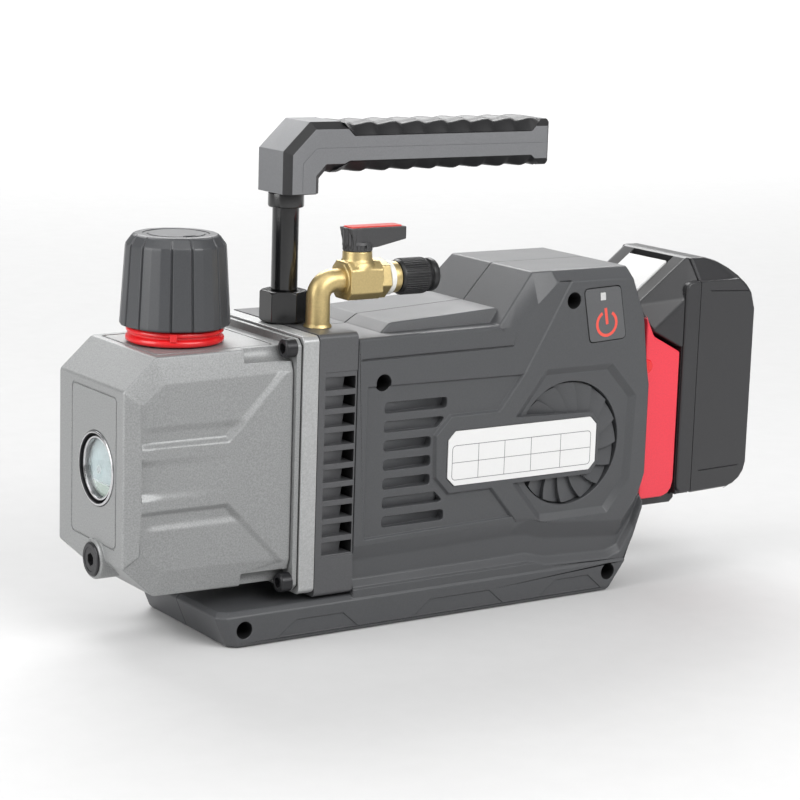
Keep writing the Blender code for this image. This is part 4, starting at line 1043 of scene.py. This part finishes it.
def build_label():
    """Blank rating plate: the ruled table is kept and its lettering is left out."""
    plate = prism_y("rating_plate", rounded(LABEL, 0.8), -41.25, -40.5)
    finish(plate, "pump", "label", ("label_plate",), 0.12, 2, 30.0)
    left, right, low, top = 171.6, 255.4, 67.2, 84.4
    ink = (-41.29, -41.2)
    outline = rounded(rectangle(left, right, low, top), 2.4)
    rim = prism_y("table_rim", outline, *ink)
    cut(rim, prism_y("table_hole", inset_outline(outline, 0.28), -42.0, -40.0))
    rules = [box("rule_across", (left, right), ink, (75.7, 75.95))]
    for x in (187.0, 202.5, 218.5, 236.5):
        rules.append(box(f"rule{x}", (x, x + 0.26), ink, (low, top)))
    join(rim, *rules)
    finish(rim, "pump", "ink", (), 0.0)


def build_power_button():
    button = prism_y("power_button_cap", rounded(BUTTON, 2.4), -41.3, -37.5)
    window = rounded([(257.2, 153.4), (260.5, 153.5), (260.9, 149.6), (257.6, 149.5)], 0.3, 2)
    cut(button, prism_y("led_seat", grown(window, 0.1), -45.0, -39.6))
    finish(button, "power_switch", "button", ("power_button",), 0.25, 2, 30.0)
    led = prism_y("led_lens", window, -41.35, -39.7)
    finish(led, "power_switch", "light", ("led_window",), 0.12, 2, 30.0)
    mark_x, mark_z = 262.0, 137.8
    angles = [math.radians(120.0) + math.radians(300.0) * i / 48.0 for i in range(49)]
    arc = []
    for radius, turn in ((6.7, angles), (5.2, angles[::-1])):
        arc += [(mark_x + radius * math.cos(a), mark_z + radius * math.sin(a)) for a in turn]
    mark = prism_y("power_mark", arc, -41.36, -41.2)
    stroke = prism_y("stroke", bar((260.8, 145.6), (262.3, 137.4), 1.6), -41.36, -41.2)
    join(mark, stroke)
    finish(mark, "power_switch", "symbol", (), 0.0)


def build_housing_screws():
    for index, (x, z) in enumerate(SCREWS):
        profile = [(3.4, -25.4), (3.8, -24.9), (3.8, -22.2), (2.0, -22.2), (2.0, 18.0)]
        screw = turned(f"housing_screw_head_{index + 1}", "Y", (x, 0, z), profile, 40)
        cut(screw, prism_y("drive", hexagon(x, z, 1.8), -30.0, -23.6))
        finish(screw, "pump", "black_oxide", (f"housing_screw_{index + 1}",), 0.15)


# ----------------------------------------------------------------- battery


def build_dock():
    profile = [(291.9, 43.8), (307.0, 43.8), (310.6, 45.0), (313.1, 47.6), (314.2, 52.0)]
    profile += [(314.2, 119.0), (297.0, 128.0), (291.9, 138.0)]
    dock = prism_y("dock_body", profile, -36.8, 36.8)
    bevel(dock, 1.0, 3, 20.0)
    lip = [(293.0, 45.0), (293.0, 42.0), (296.0, 38.8), (317.0, 38.8)]
    lip += [(319.5, 41.0), (319.5, 43.4), (309.0, 43.4), (307.0, 45.0)]
    foot = prism_y("dock_lip", lip, -31.0, 31.0)
    bumps = []
    for side in (-1, 1):
        across = sorted((side * 30.0, side * 37.3))
        bumps.append(cylinder(f"bump{side}", "Y", (292.6, 0, 113.0), 3.6, *across, 40))
    add(dock, foot, *bumps)
    mouth = box("dock_mouth", (302.0, 320.0), (-27.2, 27.2), (48.0, 150.0))
    slot = box("dock_rail_slot", (302.0, 307.4), (-31.4, 31.4), (48.0, 150.0))
    room = box("dock_nose_clearance", (302.0, 320.0), (-31.4, 31.4), (119.0, 150.0))
    seat = box("terminal_seat", (298.0, 304.0), (-16.0, 16.0), (56.0, 84.0))
    cut(dock, mouth, slot, room, seat)
    finish(dock, "pump", "dock_red", ("battery_dock",), 0.3, 2, 25.0)
    paint(dock, "pack", lambda x, y, z, normal: z < 43.7 and x > 292.5)
    paint(dock, "red", lambda x, y, z, normal: abs(y) > 36.9)


def build_battery_case():
    case_points = [
        (PACK_SEAM, PACK_BODY_HALF, 43.9),
        (350.0, PACK_BODY_HALF, 44.6),
        (354.8, PACK_BODY_HALF, 45.9),
        (358.9, PACK_BODY_HALF, 48.6),
        (361.7, PACK_BODY_HALF, 52.4),
        (363.0, PACK_BODY_HALF, 57.0),
        (363.0, PACK_BODY_HALF, 138.0),
        (360.4, PACK_BODY_HALF, 146.6),
        (350.0, PACK_BODY_HALF, 153.2),
        (PACK_SEAM, PACK_BODY_HALF, 153.2),
        (360.0, 33.5, 150.4),
        (355.0, 31.5, 155.4),
        (348.8, 30.0, 159.7),
        (342.0, 29.0, 163.2),
        (334.7, 28.0, PACK_TOP),
        (PACK_SEAM, 28.0, PACK_TOP),
    ]
    case = hull("battery_shell_rear", both_sides(case_points))
    bevel(case, 1.1, 4, 8.0)
    before_seam = ((300.0, PACK_SEAM), (-50.0, 50.0), (30.0, 180.0))
    cut(case, box("seam_face", *before_seam))
    panels = []
    for side in (-1, 1):
        outline = rounded(side_panel(PACK_SEAM - 8.0), 2.0)
        panel = side_prism(f"panel{side}", side, outline, 33.0, PACK_HALF)
        bevel(panel, 0.7, 3, 40.0)
        cut(panel, box("panel_trim", *before_seam))
        panels.append(panel)
    add(case, *panels)
    cut(case, box("cell_bay", (320.0, 358.5), (-33.0, 33.0), (50.0, 148.0)))
    rear = rounded(rectangle(-30.0, 30.0, 62.0, 136.0), 5.0)
    groove = prism_x("rear_groove", rear, 362.4, 366.0)
    cut(groove, prism_x("rear_island", inset_outline(rear, 0.9), 360.0, 368.0))
    lines = [groove]
    for side in (-1, 1):
        for p, q in (((332.0, 149.4), (359.5, 148.0)), ((330.0, 55.5), (357.0, 56.0))):
            lines.append(side_prism(f"line{side}{p[1]}", side, bar(p, q, 0.35), PACK_HALF - 0.25, 45.0))
    cut(case, *lines)
    finish(case, "battery", "pack", ("battery_case",), 0.22, 2, 30.0)

    def flat_side(x, y, z, normal):
        return abs(normal.y) > 0.98 and abs(y) > PACK_HALF - 0.05

    paint(case, "pack_side", flat_side)


def side_panel(x0):
    """Raised panel on the pack's side, in side view."""
    lower = [(x0, 44.6), (350.0, 45.2), (354.4, 46.5), (358.2, 49.0), (360.9, 52.7), (362.2, 57.0)]
    return lower + [(362.2, 138.5), (359.4, 147.2), (351.5, 154.6), (x0, 154.6)]


def build_battery_cover():
    rear = PACK_SEAM - 0.25
    lap = rear + 4.0
    outline = [(315.4, 43.9), (lap, 43.9), (lap, 152.0), (315.4, 149.0)]
    cover = prism_y("battery_shell_front", outline, -PACK_BODY_HALF, PACK_BODY_HALF)
    bevel(cover, 1.0, 3, 40.0)
    nose_points = [
        (315.5, PACK_BODY_HALF, 120.8),
        (lap, PACK_BODY_HALF, 120.8),
        (298.5, 33.0, 130.0),
        (293.5, 25.0, 142.4),
        (294.2, 25.0, 139.0),
        (324.6, 25.5, PACK_TOP),
        (lap, 28.0, PACK_TOP),
        (lap, PACK_BODY_HALF, 153.2),
        (316.5, PACK_BODY_HALF, 146.5),
    ]
    nose = hull("nose", both_sides(nose_points))
    bevel(nose, 1.1, 4, 8.0)
    add(cover, nose)
    past_seam = ((rear, 350.0), (-50.0, 50.0), (30.0, 180.0))
    cut(cover, box("cover_seam", *past_seam))
    panels = []
    for side in (-1, 1):
        outline = rounded(rectangle(316.0, 342.0, 44.6, 154.6), 5.5)
        panel = side_prism(f"panel{side}", side, outline, 33.0, PACK_HALF)
        bevel(panel, 1.2, 4, 40.0)
        cut(panel, box("panel_trim", *past_seam))
        shadow = side_prism(f"shadow{side}", side, grown(outline, 1.2), PACK_BODY_HALF - 1.4, 45.0)
        cut(shadow, prism_y("shadow_island", inset_outline(outline, 0.2), -60.0, 60.0))
        cut(cover, shadow)
        panels.append(panel)
    add(cover, *panels)
    add(cover, box("rail_neck", (306.0, 318.0), (-26.6, 26.6), (48.6, 118.0)))
    add(cover, box("rail_flange", (302.6, 306.9), (-30.9, 30.9), (48.6, 118.0)))
    cutters = [box("cover_bay", (319.5, 330.0), (-33.0, 33.0), (50.0, 148.0))]
    for side in (-1, 1):
        across = sorted((side * 10.9, side * 12.9))
        cutters.append(box(f"blade_slot{side}", (300.0, 311.0), across, (40.0, 82.0)))
    pocket = [(292.0, 136.5), (323.6, 159.6), (323.6, 175.0), (292.0, 175.0)]
    cutters.append(prism_y("latch_pocket", pocket, -15.9, 15.9))
    cut(cover, *cutters)
    finish(cover, "battery", "pack", ("battery_cover",), 0.22, 2, 30.0)

    # Painted shade: the faces of the latch pocket get the near-black recess colour.
    def painted_pocket_shade(x, y, z, normal):
        return abs(y) < 16.0 and 291.0 < x < 323.7 and z > 132.0

    paint(cover, "recess", painted_pocket_shade)


def build_latch():
    """Release button: a slab parallel to the pack's slope."""
    outline = [(295.6, 139.6), (320.0, 157.5), (320.0, 162.7), (295.6, 144.8)]
    latch = prism_y("release_button", outline, -15.5, 15.5)
    bevel(latch, 0.6, 3, 30.0)
    finish(latch, "battery_release", "light", ("battery_latch",), 0.0)


# ------------------------------------------------------------------ handle


def build_handle_rod():
    centre = (HANDLE_X, 0, 0)
    profile = [(5.9, 158.3), (6.3, 158.8), (6.3, 197.4), (8.1, 197.6), (8.5, 198.2)]
    profile += [(8.5, 203.8), (8.2, 204.2), (6.0, 204.2), (6.0, 222.0)]
    rod = turned("handle_rod_bar", "Z", centre, profile, 72)
    finish(rod, "pump", "black_steel", ("handle_rod",), 0.0)
    nut = prism_z("handle_lock_nut", hexagon(HANDLE_X, 0.0, 11.6), 143.6, 158.3)
    cone = [(10.3, 143.4), (11.6, 144.3), (11.6, 157.3), (10.3, 158.4)]
    combine(nut, [turned("nut_cone", "Z", centre, cone, 72)], "INTERSECT")
    cut(nut, cylinder("nut_bore", "Z", centre, 5.85, 140.0, 160.0, 48))
    finish(nut, "pump", "black_steel", ("handle_nut",), 0.3, 2, 25.0)


def build_handle():
    outer = [(91.6, 204.5), (91.6, 224.5), (105.8, 238.0), (242.2, 236.8), (243.6, 235.2)]
    outer += [(243.6, 215.6), (242.2, 214.2), (114.6, 215.0), (111.2, 211.6), (111.2, 204.5)]
    chamfer = 3.4
    inner = inset_outline(outer, chamfer)
    inner[0] = (inner[0][0], outer[0][1])
    inner[-1] = (inner[-1][0], outer[-1][1])
    flat = HANDLE_HALF - chamfer
    rows = ((-HANDLE_HALF, inner), (-flat, outer), (flat, outer), (HANDLE_HALF, inner))
    grip = loft("carry_grip", [[(x, y, z) for x, z in ring] for y, ring in rows])
    upper = [(122.5, 237.4), (128.5, 231.4), (231.0, 231.4), (236.0, 236.6)]
    lower = [(118.0, 215.4), (126.0, 219.4), (231.0, 219.2), (236.0, 214.9)]
    for name, ring, reach in (("upper", upper, 245.0), ("lower", lower, 208.0)):
        seat = [(ring[0][0], reach)] + ring + [(ring[3][0], reach)]
        cut(grip, prism_y(f"seat_{name}", seat, -20.0, 20.0))
    strip = [(100.4, 206.0), (100.4, 219.1), (107.9, 226.05), (238.5, 225.55)]
    strip += [(238.5, 225.3), (108.0, 225.8), (100.65, 219.0), (100.65, 206.0)]
    parting = [side_prism(f"part{side}", side, strip, HANDLE_HALF - 0.15, 20.0) for side in (-1, 1)]
    bevel(grip, 0.35, 2, 22.0)
    cut(grip, *parting)
    finish(grip, "pump", "grip", ("handle_grip",), 0.0)

    def sloped_edge(x, y, z, normal):
        return 0.3 < abs(normal.y) < 0.93 and abs(y) > flat - 0.5

    paint(grip, "soft", sloped_edge)
    grip_pad("grip_pad_top", upper, 237.75, 1.0, "grip_pad_upper")
    grip_pad("grip_pad_bottom", lower, 213.6, -1.0, "grip_pad_lower")


def grip_pad(name, seat, surface, up, node):
    """Soft pad seated in the grip: sloped flanks and a wavy, slanting anti-slip surface."""
    gap = 0.12
    base_half = HANDLE_HALF - 0.05
    crown_half = 11.2
    slant = 4.4
    least = 0.05
    columns = 116
    x0 = seat[0][0] + gap
    x1 = seat[3][0] - gap
    floor_z = seat[1][1] + up * gap
    loops = []
    for i in range(columns + 1):
        x = x0 + (x1 - x0) * i / columns
        base = pad_floor(x, seat, floor_z, gap)
        ends = smoothstep((x - x0) / 2.5) * smoothstep((x1 - x) / 2.5)
        ring = [(x, -base_half, base), (x, base_half, base)]
        for k in range(15):
            v = 1.0 - 2.0 * k / 14.0
            low = 1.0 - wave(x + up * slant * abs(v))
            edge = 1.0 - smoothstep((1.0 - abs(v)) / 0.16)
            z = surface - up * (0.35 + 1.15 * low * ends + 0.8 * edge)
            if (z - base) * up < least:
                z = base + up * least
            ring.append((x, v * crown_half, z))
        loops.append(ring)
    finish(loft(name, loops), "pump", "rubber", (node,), 0.0)


def wave(x):
    """Rounded saw wave along the grip."""
    pitch = 13.4
    rise = 0.72
    fall = 0.22
    phase = (x / pitch) % 1.0
    return smoothstep(phase / rise) * smoothstep((1.0 - phase) / fall)


def pad_floor(x, seat, floor_z, gap):
    """Height of the seat under a pad at x, following its sloped ends."""
    if x < seat[1][0]:
        share = (x - seat[0][0] - gap) / (seat[1][0] - seat[0][0])
        return seat[0][1] + (floor_z - seat[0][1]) * min(max(share, 0.0), 1.0)
    if x > seat[2][0]:
        share = (seat[3][0] - gap - x) / (seat[3][0] - seat[2][0])
        return seat[3][1] + (floor_z - seat[3][1]) * min(max(share, 0.0), 1.0)
    return floor_z


# ------------------------------------------------------------ intake valve


def build_elbow():
    radius = 5.6
    bend = 7.4
    corner_x = 107.0
    stations = []
    # Height and radius up the standing leg, with the collar that seats it.
    rise = [(136.0, 4.2), (143.45, 4.2), (143.5, 6.7), (144.2, 6.5), (145.2, 5.7), (VALVE_Z - bend, radius)]
    for z, flare in rise:
        stations.append((corner_x, z, 0.0, 1.0, flare))
    for i in range(1, 17):
        angle = math.pi * 0.5 * i / 16.0
        x = corner_x + bend * (1.0 - math.cos(angle))
        z = VALVE_Z - bend + bend * math.sin(angle)
        stations.append((x, z, math.sin(angle), math.cos(angle), radius))
    stations.append((119.2, VALVE_Z, 1.0, 0.0, radius))
    loops = []
    for x, z, tx, tz, r in stations:
        loops.append([(x + u * tz, VALVE_Y + v, z - u * tx) for u, v in circle(r, 48)])
    elbow = loft("intake_elbow_pipe", loops)
    finish(elbow, "pump", "brass", ("intake_elbow",), 0.0)


def build_valve_body():
    square = chamfered(VALVE_Y - 9.0, VALVE_Y + 9.0, VALVE_Z - 9.0, VALVE_Z + 9.0, 3.6)
    body = prism_x("valve_casting", square, 119.6, 137.6)
    bevel(body, 0.8, 3, 20.0)
    collar = turned("inlet_collar", "X", VALVE, [(6.6, 118.9), (7.4, 119.2), (8.6, 120.4)])
    hex_end = prism_x("hex", hexagon(VALVE_Y, VALVE_Z, 9.6, 0.26), 136.5, 142.6)
    bevel(hex_end, 0.5, 3, 20.0)
    neck_profile = [(9.0, 168.0), (9.0, 172.0), (7.8, 173.2), (7.1, 174.6), (7.0, 177.6), (6.7, 178.0)]
    add(body, collar, hex_end, turned("neck", "Z", STEM, neck_profile))
    cut(body, cylinder("bore", "X", VALVE, 4.4, 130.0, 150.0, 40))
    cut(body, cylinder("stem_hole", "Z", STEM, 3.1, 172.0, 185.0, 40))
    finish(body, "pump", "brass", ("valve_body",), 0.0)


def build_lever():
    """Lever: a ribbed hub and a tapering arm, with a red strip let into its top."""
    outline = [(123.0, 181.0), (133.0, 179.8), (136.0, 180.0), (151.8, 183.2), (151.8, 189.2), (121.0, 189.2)]
    arm = prism_y("valve_lever_arm", outline, VALVE_Y - 5.4, VALVE_Y + 5.4)
    bevel(arm, 0.5, 3, 20.0)
    nose = (LEVER_FRONT_X, VALVE_Y, 0)
    front = turned("lever_front", "Z", nose, [(5.7, 180.6), (5.7, 188.8), (5.3, 189.2)], 48)
    hub = turned("lever_hub", "Z", STEM, [(6.9, 178.3), (7.1, 178.7), (7.1, 181.4), (6.4, 182.6)])
    add(arm, front, hub)
    cutters = [cylinder("stem_hole", "Z", STEM, 3.02, 170.0, 186.0, 40)]
    round_hub = [2.0 * math.pi * i / 20.0 for i in range(20)]
    cutters += turned_row("flute", "Z", STEM, 7.35, round_hub, [(0.62, 177.0), (0.62, 181.2)], 12)
    round_front = [math.pi + (i - 2) * 0.42 for i in range(5)]
    cutters += turned_row("front_flute", "Z", nose, 5.9, round_front, [(0.55, 179.0), (0.55, 188.4)], 12)
    top = rounded(rectangle(122.0, 150.4, -24.1, -15.9), 1.4)
    cutters.append(prism_z("insert_seat", top, 188.0, 195.0))
    cut(arm, *cutters)
    finish(arm, "valve_handle", "lever", ("valve_lever",), 0.15, 2, 30.0)
    insert = prism_z("lever_strip", inset_outline(top, 0.08), 188.05, 189.8)
    finish(insert, "valve_handle", "lever_red", ("lever_insert",), 0.35, 3, 30.0)


def build_flare_cap():
    profile = [(7.6, 149.8), (8.1, 150.6), (8.4, 151.4), (8.4, 164.6), (8.0, 165.6), (7.3, 166.1)]
    profile += [(7.2, 166.9), (8.0, 167.5), (8.1, 169.4), (7.6, 170.5), (6.4, 171.2)]
    cap = turned("service_cap_body", "X", VALVE, profile, 96)
    round_cap = [2.0 * math.pi * i / 44.0 for i in range(44)]
    rib = [(0.2, 151.2), (0.4, 152.2), (0.4, 163.8), (0.2, 164.8)]
    ribs = turned_row("rib", "X", VALVE, 8.4, round_cap, rib, 8)
    cut(cap, cylinder("cap_bore", "X", VALVE, 5.72, 145.0, 170.0, 48))
    join(cap, *ribs)
    finish(cap, "service_cap", "knurl", ("flare_cap",), 0.0)
    profile = [(3.0, 138.0), (4.3, 138.0), (4.3, 145.9), (7.3, 145.9), (7.5, 146.4), (7.5, 149.0)]
    profile += [(7.2, 149.5), (5.6, 149.5), (5.6, 165.0), (4.4, 168.5), (3.0, 168.5)]
    nipple = ring_solid("flare_nipple_turned", "X", VALVE, profile)
    finish(nipple, "pump", "brass", ("flare_nipple",), 0.0)
    profile = [(4.6, 142.8), (7.8, 142.8), (8.2, 143.2), (8.2, 145.2), (7.8, 145.7), (4.6, 145.7)]
    seal = ring_solid("thread_seal_ring", "X", VALVE, profile)
    finish(seal, "pump", "seal", ("thread_seal",), 0.0)


# ------------------------------------------------------- carried CAD nodes

# Material and the CAD nodes that keep their own meshes and wear it.
CARRIED = {
    "gasket": ["casing_gasket"],
    "iron": ["low_stage_stator", "high_stage_stator", "cartridge_cover"],
    "steel": [
        "low_stage_rotor",
        "high_stage_rotor",
        "front_bearing",
        "rear_bearing",
        "cell_pack",
        "valve_ball",
    ],
    "vane": ["low_stage_vane_a", "low_stage_vane_b", "high_stage_vane_a", "high_stage_vane_b"],
    "rubber": ["shaft_seal", "terminal_block"],
    "bright": ["shaft_coupling"],
    "black_steel": ["motor_can"],
    "copper": ["motor_rotor"],
    "cap": ["cooling_fan"],
    "board": ["controller_board"],
    "light": ["exhaust_baffle"],
    "brass": ["valve_stem"],
}


def dress_carried_nodes():
    for material, nodes in CARRIED.items():
        for node in nodes:
            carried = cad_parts[node]
            carried.data.materials.clear()
            carried.data.materials.append(M[material])
            edges = carried.modifiers.new("edges", "BEVEL")
            edges.width = 0.2 * MM
            edges.segments = 2
            edges.limit_method = "ANGLE"
            edges.angle_limit = math.radians(40.0)


# ------------------------------------------------------ camera, light, floor


CAMERA_PLACE = (-0.6673, -0.9790, 0.3370)
CAMERA_AZIMUTH = math.radians(33.8)
CAMERA_ELEVATION = math.radians(11.4)
CAMERA_ROLL = math.radians(-1.85)
CAMERA_LENS = 110.25
FLOOR_HALF = 12.0
FLOOR_DROP = 0.0002


def build_camera():
    level = math.cos(CAMERA_ELEVATION)
    ahead = (math.sin(CAMERA_AZIMUTH) * level, math.cos(CAMERA_AZIMUTH) * level, -math.sin(CAMERA_ELEVATION))
    forward = Vector(ahead)
    right = Vector((math.cos(CAMERA_AZIMUTH), -math.sin(CAMERA_AZIMUTH), 0.0))
    down = forward.cross(right)
    across = right * math.cos(CAMERA_ROLL) + down * math.sin(CAMERA_ROLL)
    lower = down * math.cos(CAMERA_ROLL) - right * math.sin(CAMERA_ROLL)
    data = bpy.data.cameras.new("camera")
    data.lens = CAMERA_LENS
    data.sensor_width = 36.0
    data.clip_start = 0.05
    camera = place("camera", data)
    turn = Matrix((across, -lower, -forward)).transposed().to_4x4()
    camera.matrix_world = Matrix.Translation(CAMERA_PLACE) @ turn
    bpy.context.scene.camera = camera


def area_light(name, spot, target, width, height, power):
    data = bpy.data.lights.new(name, "AREA")
    data.shape = "RECTANGLE"
    data.size = width
    data.size_y = height
    data.energy = power
    lamp = place(name, data)
    aim = Vector(target) - Vector(spot)
    lamp.matrix_world = Matrix.Translation(spot) @ aim.to_track_quat("-Z", "Y").to_matrix().to_4x4()


def build_studio():
    mesh = bpy.data.meshes.new("floor")
    corners = rectangle(-FLOOR_HALF, FLOOR_HALF, -FLOOR_HALF, FLOOR_HALF)
    mesh.from_pydata([(x, y, 0) for x, y in corners], [], [(0, 1, 2, 3)])
    floor = place("floor", mesh)
    floor.location.z = -FLOOR_DROP
    pale = (0.62, 0.62, 0.62)
    mesh.materials.append(coated("floor_paint", pale, 0.7, 60.0, 0.02, 0.01, dust=0.0, specular=0.1))
    build_world(backdrop=0.93, ambient=0.20)
    area_light("key_left", (-1.25, 0.05, 0.55), (-0.08, 0.0, 0.10), 0.8, 0.9, 11.0)
    area_light("side_right", (0.22, -1.15, 0.95), (0.05, 0.0, 0.10), 1.1, 0.7, 16.0)
    area_light("background", (3.0, 6.4, 4.4), (3.0, 6.41, 0.0), 8.0, 7.0, 1000.0)
    data = bpy.data.lights.new("top_soft", "SUN")
    data.energy = 0.85
    data.angle = math.radians(55.0)
    lamp = place("top_soft", data)
    lamp.rotation_euler = (math.radians(12.0), math.radians(-14.0), 0.0)
    bpy.context.scene.view_settings.view_transform = "Standard"


def build_world(backdrop, ambient):
    """Pale surroundings: a near-white backdrop with a dimmer level of ambient light."""
    world = bpy.data.worlds.new("studio")
    world.use_nodes = True
    tree = world.node_tree
    tree.nodes.clear()
    levels = []
    for strength in (ambient, backdrop):
        level = tree.nodes.new("ShaderNodeBackground")
        level.inputs["Color"].default_value = (1.0, 1.0, 1.0, 1.0)
        level.inputs["Strength"].default_value = strength
        levels.append(level)
    path = tree.nodes.new("ShaderNodeLightPath")
    mix = tree.nodes.new("ShaderNodeMixShader")
    output = tree.nodes.new("ShaderNodeOutputWorld")
    tree.links.new(path.outputs["Is Camera Ray"], mix.inputs[0])
    tree.links.new(levels[0].outputs[0], mix.inputs[1])
    tree.links.new(levels[1].outputs[0], mix.inputs[2])
    tree.links.new(mix.outputs[0], output.inputs["Surface"])
    bpy.context.scene.world = world


# -------------------------------------------------------------------- main


def main():
    build_camera()
    build_studio()
    build_casing()
    build_sight_glass()
    build_drain_plug()
    build_casing_screws()
    build_fill_cap()
    build_flange()
    build_bracket()
    build_housing_half("housing_near", True, "left_housing")
    build_housing_half("housing_far", False, "right_housing")
    build_housing_screws()
    build_label()
    build_power_button()
    build_dock()
    build_battery_case()
    build_battery_cover()
    build_latch()
    build_handle_rod()
    build_handle()
    build_elbow()
    build_valve_body()
    build_lever()
    build_flare_cap()
    dress_carried_nodes()


main()
